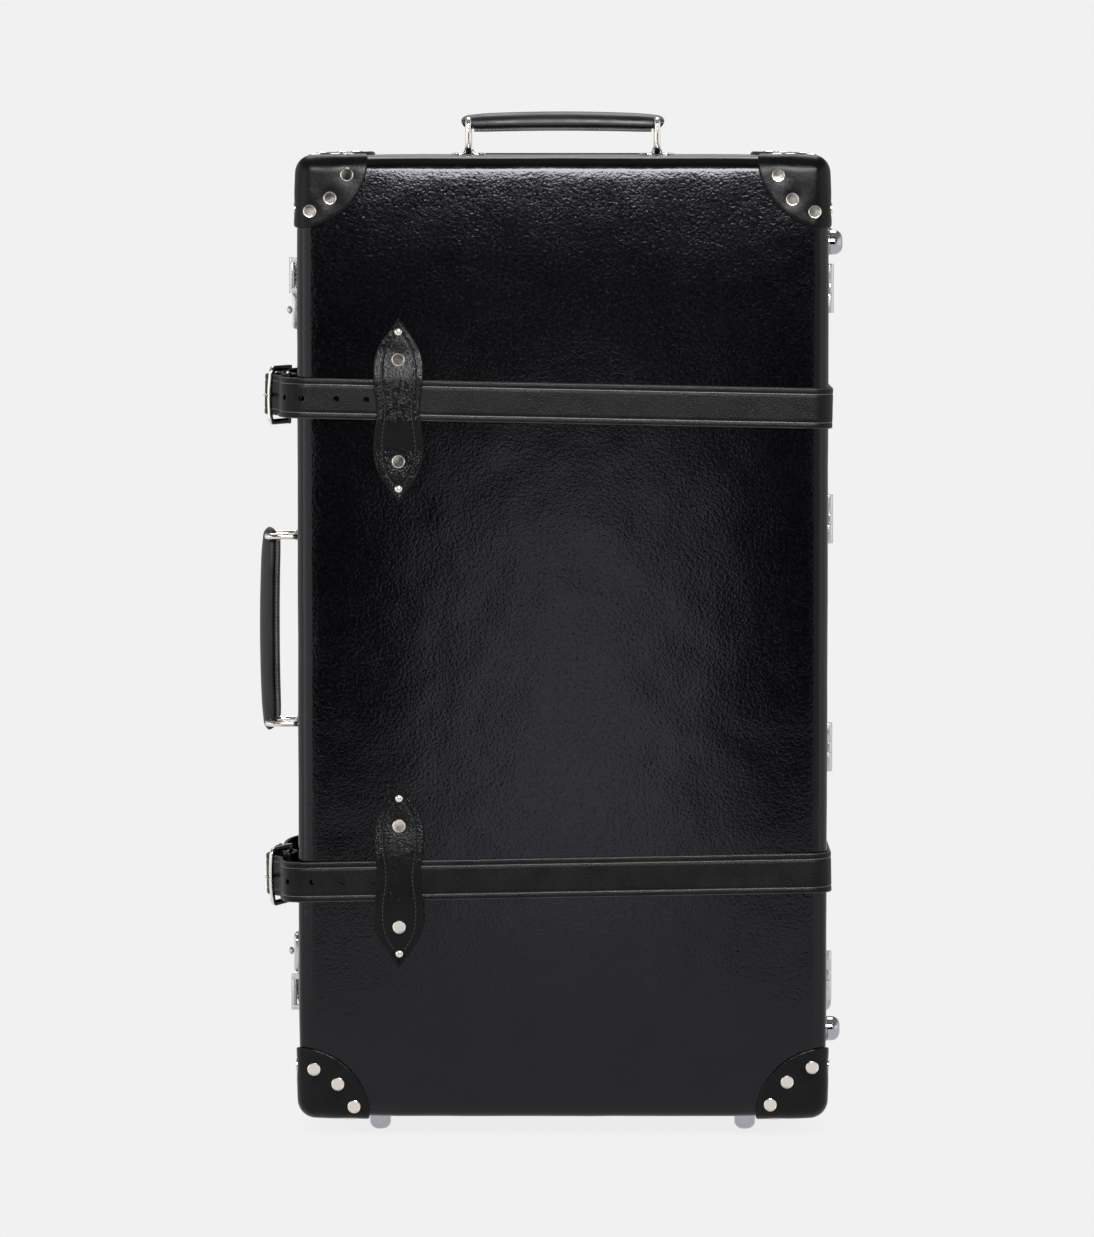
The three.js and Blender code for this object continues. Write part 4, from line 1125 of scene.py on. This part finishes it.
def buckle_point(points):
    """From the buckle's own frame (across, out, up) to the strap's frame."""
    points = np.asarray(points, float)
    out = np.array([-BUCKLE_RUN[1], BUCKLE_RUN[0]])
    plan = BUCKLE_MIDDLE + points[:, :1] * BUCKLE_RUN + points[:, 1:2] * out
    return np.column_stack([plan, points[:, 2]])


def add_to_buckle(mesh, level, points, faces):
    mesh.add(tilted(buckle_point(points), level), faces)


def buckles():
    far = (BUCKLE_WIDTH - BUCKLE_BAR) / 2
    radius = BUCKLE_CORNER - 1.2
    for level, _ in LEVELS:
        route = chain(
            line((BAR_SPAN, far - 0.5), (BAR_SPAN, far - 0.2), 1),
            arc((BAR_SPAN - 2.4, far), 0.01, 0, 90, 2),
            line((BAR_SPAN - 1, far), (-BAR_SPAN + radius, far), 2),
            arc((-BAR_SPAN + radius, far - radius), radius, 90, 180, 8),
            line((-BAR_SPAN, far - radius), (-BAR_SPAN, -far + radius), 2),
            arc((-BAR_SPAN + radius, -far + radius), radius, 180, 270, 8),
            line((-BAR_SPAN + radius, -far), (BAR_SPAN, -far), 2),
        )
        bow = 1.3 * np.cos(np.clip(np.abs(route[:, 1]) / far, 0, 1) * math.pi / 2)
        path = np.column_stack([route[:, 0], bow * (route[:, 0] < 0), route[:, 1]])
        angles = np.linspace(0, 2 * math.pi, 16, endpoint=False)
        shape = np.stack([
            BUCKLE_BAR / 2 * squared(np.cos(angles)), BUCKLE_THICK / 2 * squared(np.sin(angles)),
        ], 1)
        frame_mesh = Mesh()
        add_to_buckle(frame_mesh, level, *sweep(path, shape, (0, 1, 0)))
        heel = line((BAR_SPAN, 0, -far - 1), (BAR_SPAN, 0, far + 1), 6)
        add_to_buckle(frame_mesh, level, *sweep(heel, circle(BUCKLE_THICK / 2, 20), (0, 1, 0)))
        for sign in (-1, 1):
            add_to_buckle(frame_mesh, level, *lathe(
                along((BAR_SPAN, 0, sign * far), (0, 0, sign)),
                [(0, -3), (2.6, -3), (2.75, -2.4), (2.75, 1.6), (2.3, 2.2), (0, 2.3)], 20,
            ))
        replaced = (f"{level}_buckle_frame",)
        make(f"{level}_buckle", frame_mesh, NICKEL, f"{level}_side_strap", "nickel", replaced, 50)
        prong(level)


def prong(level):
    """A pin bent over the front bar, with an eye round the heel bar."""
    rise = BUCKLE_THICK / 2 + 1.9
    spine = chain(
        bezier([
            (BAR_SPAN - 2.6, rise * 0.5, 0), (4, rise + 1.6, 0),
            (-8, rise + 0.9, 0), (-BAR_SPAN, rise + 1.3, 0),
        ], 16),
        bezier([
            (-BAR_SPAN, rise + 1.3, 0), (-BAR_SPAN - 1.5, rise + 1.2, 0),
            (-BAR_SPAN - 3, rise + 0.4, 0), (-BAR_SPAN - 3.6, rise - 0.6, 0),
        ], 6),
    )
    share = np.linspace(0, 1, len(spine))
    widths = 1.9 - 0.5 * share
    widths[-1] = 0.7
    widths[-2] = 1.15
    way = tangents(spine)
    side = np.array([0, 0, 1.0])
    rings = []
    for point, step, width in zip(spine, way, widths):
        second = np.cross(side, step)
        ring = circle(width, 14)
        rings.append(point + ring[:, :1] * side + ring[:, 1:] * second)
    mesh = Mesh()
    add_to_buckle(mesh, level, *loft(rings))
    loop = arc((BAR_SPAN, 0), BUCKLE_THICK / 2 + 1.1, 0, 360, 28)[:-1]
    eye = np.column_stack([loop, np.zeros(len(loop))])
    section = rounded_rectangle(1.9, 4.4, 0.8, 3)
    add_to_buckle(mesh, level, *sweep(eye, section, (0, 0, 1), True))
    make(f"{level}_prong_pin", mesh, NICKEL, f"{level}_prong", "nickel", (f"{level}_buckle_prong",), 50)


# Chapes

def chape_outline():
    """Half width of the leaf for places along it."""
    top = bezier([
        (0, CHAPE_HALF), (CHAPE_BELLY / 2, CHAPE_HALF - CHAPE_BELLY_RISE / 2),
        (CHAPE_BELLY, (CHAPE_HALF + CHAPE_BELLY_RISE) / 2), (CHAPE_BELLY, CHAPE_BELLY_RISE),
    ], 40)
    waist = bezier([
        (CHAPE_BELLY, CHAPE_BELLY_RISE), (CHAPE_BELLY, CHAPE_BELLY_RISE / 2),
        (CHAPE_WAIST, CHAPE_BELLY_RISE / 3), (CHAPE_WAIST, 0),
    ], 24)
    upper = np.vstack([top, waist[1:]])
    lower = upper[::-1][1:] * [1, -1]
    return np.vstack([upper, lower])


def chape_rise(rows, strap_at, ramp):
    """How far the leaf's underside stands off the lid."""
    share = np.clip((CHAPE_ROOM + ramp - np.abs(rows - strap_at)) / ramp, 0, 1)
    return CHAPE_LIFT + CHAPE_ARCH * share * share * (3 - 2 * share)


def chape_face(x, rows, widths, strap_at, ramp):
    """Height of the leaf's outer face: rounded edges, a stitched groove and hollows under the fastenings."""
    rise = chape_rise(rows, strap_at, ramp)
    inset = widths - np.abs(x)
    edge = np.clip(inset / 1.5, 0, 1)
    face = rise + CHAPE_THICK - 0.9 * (1 - np.sqrt(1 - (1 - edge) ** 2))
    face -= 0.4 * np.exp(-(((inset - STITCH_INSET) / 0.9) ** 2)) * (widths > STITCH_INSET + 2)
    for spot in CHAPE_SPOTS:
        face -= 0.55 * np.exp(-((np.hypot(x, rows - spot) / 6.5) ** 2))
    crown = 0.5 * (1 - (x / np.maximum(widths, 1)) ** 2)
    return face + crown * (1 - (rise - CHAPE_LIFT) / CHAPE_ARCH)


def chape(level):
    rise, tilt = STRAPS[level]
    shift = CHAPE_SHIFT[level]
    centre_z = MIDDLE + rise - CHAPE_X * math.sin(tilt) + shift
    place = on_front(CHAPE_X, centre_z)
    outline = chape_outline()

    def width_at(rows):
        return np.interp(-rows, -outline[:, 1], outline[:, 0])

    rows = np.concatenate([[72.6, 71.9, 70.8], np.linspace(69, -69, 185), [-70.8, -71.9, -72.6]])
    edges = np.array([0.83, 0.86, 0.885, 0.91, 0.935, 0.955, 0.97, 0.985, 1])
    columns = np.concatenate([-edges[::-1], np.linspace(-0.8, 0.8, 49), edges])
    row_grid, column_grid = np.meshgrid(rows, columns, indexing="ij")
    widths = width_at(row_grid)
    x = column_grid * widths
    bend = (-shift, CHAPE_RAMP[level])
    top = np.stack([x, row_grid, chape_face(x, row_grid, widths, *bend)], 2)
    bottom = top.copy()
    bottom[:, :, 2] = chape_rise(row_grid, *bend)
    count, size = len(rows), len(columns)
    points = np.vstack([top.reshape(-1, 3), bottom.reshape(-1, 3)])
    faces = []
    under = count * size
    for i in range(count - 1):
        for j in range(size - 1):
            a = i * size + j
            faces.append([a, a + 1, a + size + 1, a + size])
            faces.append([a + under, a + size + under, a + size + 1 + under, a + 1 + under])
    border = (
        list(range(size))
        + [i * size + size - 1 for i in range(1, count)]
        + [(count - 1) * size + j for j in range(size - 2, -1, -1)]
        + [i * size for i in range(count - 2, 0, -1)]
    )
    rim = [[a, b, b + under, a + under] for a, b in zip(border, border[1:] + border[:1])]
    mesh = Mesh().add(place(points), faces + rim, [0] * len(faces) + [1] * len(rim))
    make(f"{level}_chape_leaf", mesh, [CHAPE, BURNISHED], "lid", "corner_leather", (f"{level}_chape",), 55)

    threads = Mesh()
    usable = outline[np.abs(outline[:, 1]) < 60]
    for side in (-1, 1):
        row = usable.copy()
        row[:, 0] = side * (row[:, 0] - STITCH_INSET)
        row = row[side * row[:, 0] > 1.5]
        lengths = reach_along(row)
        for start in np.arange(1, lengths[-1] - 3, STITCH_PITCH):
            places = np.linspace(start, start + STITCH_PITCH * STITCH_SHARE, 5)
            u = np.interp(places, lengths, row[:, 0])
            v = np.interp(places, lengths, row[:, 1])
            threads.add(*stitch(place, u, v, chape_face(u, v, width_at(v), *bend)))
    make(f"{level}_chape_stitches", threads, THREAD, "lid", "corner_leather", sharp=60)

    metal = Mesh()
    for row in CHAPE_SPOTS:
        spot = place(np.array([[0, row, 0.0]]))[0]
        low, seat, high = chape_face(np.zeros(3), row + np.array([-5.0, 0, 5.0]), width_at(row), *bend)
        if abs(row) == CHAPE_RIVET:
            metal.add(*flat_rivet(along(spot, (0, -1, 0)), max(low, high) - 0.5, 5.25, 1.0))
        else:
            metal.add(*domed_nail(along(spot, (0, -1, 0)), seat + 0.05, 3.0))
    make(f"{level}_chape_rivets", metal, RIVET, "lid", "nickel", sharp=18)


def stitch(place, u, v, face):
    """One thread between two needle holes: a short tube that dips into the leather at both ends."""
    share = np.linspace(0, 1, len(u))
    path = np.column_stack([u, v, face + 0.8 * np.sin(math.pi * share) - 0.45])
    points, faces = sweep(path, circle(0.42, 6), (0, 0, 1))
    return place(points), faces


# Ring handles

def handle(name, place, ends, bodies, grip_body):
    for end, sign, body in zip(ends, (-1, 1), bodies):
        ring(f"{name}_wire_{end}", place, sign * RING_SPACING / 2, body, f"{name}_ring_{end}")
        saddle(f"{name}_loop_{end}", place, sign * RING_SPACING / 2, f"{name}_saddle_{end}")
    grip(name, place, grip_body)


def ring(name, place, x, body, replaced):
    middle = RING_AXIS + RING_RISE / 2
    path = rounded_rectangle(RING_WIDTH - RING_WIRE, RING_RISE, RING_CORNER - RING_WIRE / 2 + 1.0, 8)
    spine = np.column_stack([np.full(len(path), x), path[:, 0], path[:, 1] + middle])
    mesh = Mesh().add(*sweep(spine, circle(RING_WIRE / 2, 18), (1, 0, 0), True), place=place)
    make(name, mesh, WIRE, body, "nickel", (replaced,), 60)


def saddle(name, place, x, replaced):
    """A bent nickel strap over the ring's lower bar, with a riveted foot on each side."""
    room = RING_WIRE / 2 + 0.5
    thick = 1.0
    foot = 0.3
    low = foot + thick / 2
    start = room + 4.2
    spine = chain(
        line((-SADDLE_REACH, low), (-start, low), 1.5),
        bezier([(-start, low), (-room - 1, low), (-room - 1.0, 2.0), (-room - 0.5, RING_AXIS)], 6),
        arc((0, RING_AXIS), room + thick / 2, 180, 0, 14),
        bezier([(room + 0.5, RING_AXIS), (room + 1.0, 2.0), (room + 1, low), (start, low)], 6),
        line((start, low), (SADDLE_REACH, low), 1.5),
    )
    path = np.column_stack([spine[:, 0] + x, np.zeros(len(spine)), spine[:, 1]])
    section = rounded_rectangle(SADDLE_WIDTH, thick, 0.45, 3)
    way = tangents(path)
    side = np.array([0, 1.0, 0])
    rings = []
    for point, step, (local, _) in zip(path, way, spine):
        out = np.cross(step, side)
        share = np.clip((abs(local) - 8) / 6, 0, 1)
        narrow = math.sqrt(max(1 - 0.75 * share ** 2, 0.05))
        rings.append(point + (section[:, :1] * narrow) * side + section[:, 1:] * out)
    mesh = Mesh().add(*loft(rings), place=place)
    for end in (-1, 1):
        for across in (-6, 6):
            spot = place(np.array([[x + end * 10.0, across, 0]]))[0]
            mesh.add(*flat_rivet(along(spot, place.axes[2]), foot + thick - 0.3, 2.0, 0.7))
    make(name, mesh, NICKEL, "base", "nickel", (replaced,), 40)


def grip_side(share):
    """The grip's upper and lower outline at a share of its half length."""
    axis = RING_AXIS + RING_RISE
    reach = RING_SPACING / 2 + GRIP_END
    x = share * reach
    shoulder = np.clip((abs(x) - (reach - 24)) / 24, 0, 1)
    belly = 1 - (x / reach) ** 2
    crest = GRIP_TOP - GRIP_ARCH
    top = crest + GRIP_ARCH * belly - (crest - axis - GRIP_END + 2.4) * shoulder ** 1.7
    floor_line = GRIP_TOP - GRIP_HEIGHT + GRIP_WELT
    low = floor_line + 0.6 * GRIP_ARCH * (belly - 0.5) + (axis - GRIP_END - floor_line) * shoulder ** 2.2
    end = np.clip((abs(x) - (reach - GRIP_END)) / GRIP_END, 0, 1)
    closing = math.sqrt(max(1 - end * end, 0.0))
    return x, axis + (top - axis) * closing, axis + (low - axis) * closing


def grip(name, place, body):
    """A padded leather grip: a crowned upper, a flat welt sewn along it, and folded ends."""
    shares = np.sin(np.linspace(-math.pi / 2, math.pi / 2, 97))
    shares[0] = -0.9985
    shares[-1] = 0.9985
    rings = []
    welt = []
    reach = RING_SPACING / 2 + GRIP_END
    for share in shares:
        x, top, low = grip_side(share)
        taper = 1 - 0.16 * np.clip((abs(x) - reach + 34) / 34, 0, 1) ** 1.5
        half = GRIP_WIDTH / 2 * taper - 0.8
        tall = max(top - low, 0.3)
        ring_points = []
        for angle in np.linspace(0, 2 * math.pi, 36, endpoint=False):
            c, s = math.cos(angle), math.sin(angle)
            if s >= 0:
                up = low + tall * (0.32 + 0.68 * abs(s) ** (2 / 2.2))
            else:
                up = low + tall * (0.32 - 0.32 * abs(s) ** (2 / 5.0))
            ring_points.append((x, half * squared(c), up))
        rings.append(ring_points)
    mesh = Mesh().add(*loft(rings), place=place)
    flat = np.linspace(-RING_SPACING / 2 + 4.5, RING_SPACING / 2 - 4.5, 260)
    for x in flat:
        _, _, low = grip_side(x / reach)
        scallop = 0.3 * abs(math.sin(math.pi * (x - flat[0] - 2) / GRIP_PITCH))
        half = GRIP_WIDTH / 2 - 0.3 + scallop - 1.2 * (abs(x) / flat[-1]) ** 8
        outline = rounded_rectangle(2 * half, GRIP_WELT, 0.9, 3)
        welt.append([(x, u, low - GRIP_WELT / 2 + 0.25 + v) for u, v in outline])
    mesh.add(*loft(welt), 1, place)
    replaced = (f"{name}_grip",)
    make(f"{name}_leather_grip", mesh, [GRIP, WORN_EDGE], body, "corner_leather", replaced, 50)

    threads = Mesh()
    for side in (-1, 1):
        for x in np.arange(flat[0] + 2, flat[-1] - 3, GRIP_PITCH):
            path = []
            for k in range(5):
                s = k / 4
                u = x + 2.1 * s
                _, _, low = grip_side(u / reach)
                out = GRIP_WIDTH / 2 - 0.35 + 0.25 * math.sin(math.pi * s)
                path.append((u, side * out, low + 0.25))
            threads.add(*sweep(path, circle(0.38, 6), (0, 0, 1)), place=place)
    make(f"{name}_grip_stitches", threads, THREAD, body, "corner_leather", sharp=60)


def handles():
    handle(
        "side_handle", on_left(HANDLE_SETBACK, MIDDLE), ("lower", "upper"),
        ("side_ring_lower", "side_ring_upper"), "side_grip",
    )
    handle(
        "top_handle", on_top(0, HANDLE_SETBACK), ("left", "right"),
        ("top_ring_left", "top_ring_right"), "top_grip",
    )


# Feet, fittings and wheels

def foot_profile(radius, height, shoulder):
    profile = [(0, 0.2), (radius * 0.92, 0.2), (radius * 0.92, 0.8), (radius, 1.5)]
    profile.append((radius, height - shoulder))
    for step in range(1, 9):
        angle = step / 8 * math.pi / 2
        profile.append((
            radius - shoulder + shoulder * math.cos(angle), height - shoulder + shoulder * math.sin(angle)
        ))
    profile.append((radius * 0.3, height))
    profile.append((0, height))
    return profile


def feet():
    for level, sign in LEVELS:
        for half, y in (("lid", SIDE_FOOT_INSET), ("base", DEPTH - SIDE_FOOT_INSET)):
            place = on_right(y, MIDDLE + sign * SIDE_FOOT_RISE)
            mesh = Mesh().add(*lathe(place, foot_profile(9.75, 11.3, 6.6), 48))
            washer = [(0, 0.1), (10.6, 0.1), (10.6, 0.5), (10.2, 0.9), (9.0, 1.0), (0, 1.0)]
            mesh.add(*lathe(place, washer, 48))
            replaced = (f"{half}_side_foot_{level}",)
            make(f"{half}_side_stud_{level}", mesh, CHROME, half, "nickel", replaced, 35)
    for hand, sign in HANDS:
        place = underside(sign * BOTTOM_FOOT_OUT, BOTTOM_FOOT_BACK)
        low = in_case(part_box(f"bottom_foot_{hand}")[0])[2]
        mesh = Mesh().add(*lathe(place, foot_profile(8.4, -low, 6.2), 48))
        make(f"bottom_stud_{hand}", mesh, CHROME, "lid", "nickel", (f"bottom_foot_{hand}",), 35)


def fittings():
    for level, _ in LEVELS:
        refined(f"{level}_latch_plate", f"{level}_latch_body", SATIN, "base", 0.45)
        refined(f"{level}_latch_knob", f"{level}_latch_slider", SATIN, f"{level}_knob", 0.2)
        refined(f"{level}_hasp", f"{level}_hasp_leaf", SATIN, f"{level}_hasp", 0.4)
        refined(f"{level}_hasp_plate", f"{level}_hasp_base", SATIN, "lid", 0.35)
    for index in range(1, 5):
        refined(f"hinge_{index}_lid_leaf", f"hinge_{index}_front", SATIN, "lid", 0.3)
        refined(f"hinge_{index}_base_leaf", f"hinge_{index}_rear", SATIN, "base", 0.3)
    for hand, _ in HANDS:
        refined(f"wheel_housing_{hand}", f"wheel_case_{hand}", MOULDED, "base", 0.6)
    refined("pull_handle_housing", "pull_handle_cup", [MOULDED, TUBE], "base", 0.4,
            lambda centre: 0 if centre.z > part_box("pull_handle_housing")[1].z - 0.035 else 1)
    refined("pull_handle", "pull_handle_grip", [MOULDED, TUBE], "pull_handle", 0.8,
            lambda centre: 0 if centre.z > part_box("pull_handle")[1].z - 0.0195 else 1)


def wheels():
    for hand, _ in HANDS:
        low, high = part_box(f"wheel_{hand}")
        middle = in_case((low + high) / 2)
        half = (high.x - low.x) / MM / 2
        radius = (high.z - low.z) / MM / 2
        place = along(middle, (1, 0, 0))
        half_tyre = [
            (0, 2.4 - half), (radius - 8.4, 2.4 - half), (radius - 8, 0.4 - half), (radius - 6, -half),
        ]
        for step in range(8):
            angle = step / 7 * math.pi / 2
            half_tyre.append((radius - 4 + 4 * math.sin(angle), 4 - half - 4 * math.cos(angle)))
        half_tyre += [(radius, -3.5), (radius - 0.7, -3.1), (radius - 0.7, -1.9), (radius, -1.5)]
        tyre = half_tyre + [(reach, -across) for reach, across in half_tyre[::-1]]
        mesh = Mesh().add(*lathe(place, tyre, 64))
        for sign in (-1, 1):
            side = along(middle, (sign, 0, 0))
            hub = [
                (0, half - 3), (radius - 8.8, half - 3), (radius - 9, half - 1.2),
                (radius - 10, half - 0.9), (radius - 11.5, half - 1.6), (8.2, half - 1.8),
                (7.6, half - 0.5), (4.0, half - 0.3), (3.6, half - 1.4), (0, half - 1.5),
            ]
            mesh.add(*lathe(side, hub, 64), 1)
        make(f"wheel_tyre_{hand}", mesh, [TREAD, HUB], f"wheel_{hand}", "tread", (f"wheel_{hand}",), 30)


trays()
corner_caps()
straps()
buckles()
for level, _ in LEVELS:
    chape(level)
handles()
feet()
fittings()
wheels()


# Floor, light and camera

def floor():
    data = bpy.data.meshes.new("floor")
    data.from_pydata([(x, y, -0.0002) for x, y in circle(FLOOR_RADIUS, 96)], [], [list(range(96))])
    obj = placed("floor", data)
    material = bpy.data.materials.new("pale_floor")
    material.use_nodes = True
    material.node_tree.nodes.clear()
    output = node(material, "ShaderNodeOutputMaterial")
    glow = node(material, "ShaderNodeEmission", Strength=BACKGROUND)
    # The floor glows evenly; ambient occlusion darkens the glow close to the case: a painted contact shadow
    shade = node(material, "ShaderNodeAmbientOcclusion", samples=16, Distance=0.035)
    shadow = color_ramp(material, shade.outputs["AO"], ((0.0, (0.93, 0.93, 0.935)), (0.7, (1, 1, 1))))
    link(material, shadow, glow.inputs["Color"])
    link(material, glow.outputs["Emission"], output.inputs["Surface"])
    data.materials.append(material)


def studio_world():
    """Pale at the sides; darker behind and overhead, and dark in front, as a room behind a camera is."""
    sky = bpy.data.worlds.new("studio")
    bpy.context.scene.world = sky
    sky.use_nodes = True
    sky.node_tree.nodes.clear()
    output = node(sky, "ShaderNodeOutputWorld")
    seen = node(sky, "ShaderNodeBackground", Color=(BACKGROUND, BACKGROUND, BACKGROUND, 1))
    lit = node(sky, "ShaderNodeBackground", Color=(1, 0.995, 0.99, 1))
    coordinates = node(sky, "ShaderNodeTexCoord")
    parts = node(sky, "ShaderNodeSeparateXYZ")
    link(sky, coordinates.outputs["Generated"], parts.inputs["Vector"])
    # Along each axis, where the light changes, from one strength to the other
    ranges = (
        ("Y", -0.86, -0.45, 0.006, SIDE_GLOW),
        ("Y", 0.3, 0.85, 1.0, 0.4),
        ("Z", 0.25, 0.6, 1.0, 0.25),
    )
    total = None
    for axis, *spread_over in ranges:
        part = map_range(sky, parts.outputs[axis], *spread_over, interpolation_type="SMOOTHSTEP")
        if total is None:
            total = part
            continue
        product = node(sky, "ShaderNodeMath", operation="MULTIPLY")
        link(sky, total, product.inputs[0])
        link(sky, part, product.inputs[1])
        total = product.outputs["Value"]
    link(sky, total, lit.inputs["Strength"])
    path = node(sky, "ShaderNodeLightPath")
    mix = node(sky, "ShaderNodeMixShader")
    link(sky, path.outputs["Is Camera Ray"], mix.inputs["Fac"])
    link(sky, lit.outputs["Background"], mix.inputs[1])
    link(sky, seen.outputs["Background"], mix.inputs[2])
    link(sky, mix.outputs["Shader"], output.inputs["Surface"])


def look_from(obj, place, aim):
    obj.location = place
    obj.rotation_euler = (Vector(aim) - Vector(place)).to_track_quat("-Z", "Y").to_euler()


def soft_light(name, place, aim, size, power):
    data = bpy.data.lights.new(name, "AREA")
    data.shape = "RECTANGLE"
    data.size, data.size_y = size
    data.energy = power
    obj = placed(name, data)
    look_from(obj, place, aim)
    obj.visible_camera = False


def camera():
    data = bpy.data.cameras.new("photo_view")
    data.lens = LENS
    data.sensor_width = 36
    data.sensor_fit = "HORIZONTAL"
    data.clip_end = 100
    obj = placed("photo_view", data)
    look_from(obj, CAMERA, AIM)
    bpy.context.scene.camera = obj


floor()
studio_world()
soft_light("high_front", (0.18, -2.31, 1.48), (0.18, -0.11, 0.765), (1.0, 0.78), 66)
soft_light("card", (0.026, -1.7, 0.24), (0.026, 0, 0.26), (0.26, 0.44), 0.5)
soft_light("left_fill", (-1.49, -1.65, 0.5), (-0.2, -0.05, 0.45), (1.96, 1.3), 9)
soft_light("right_fill", (1.53, -1.87, 0.5), (0.2, -0.05, 0.45), (1.87, 1.3), 3.8)
soft_light("back_top", (0, 1.15, 2.5), (0, 0.1, 0.76), (1.6, 1.5), 30)
camera()
bpy.context.scene.view_settings.view_transform = "Standard"
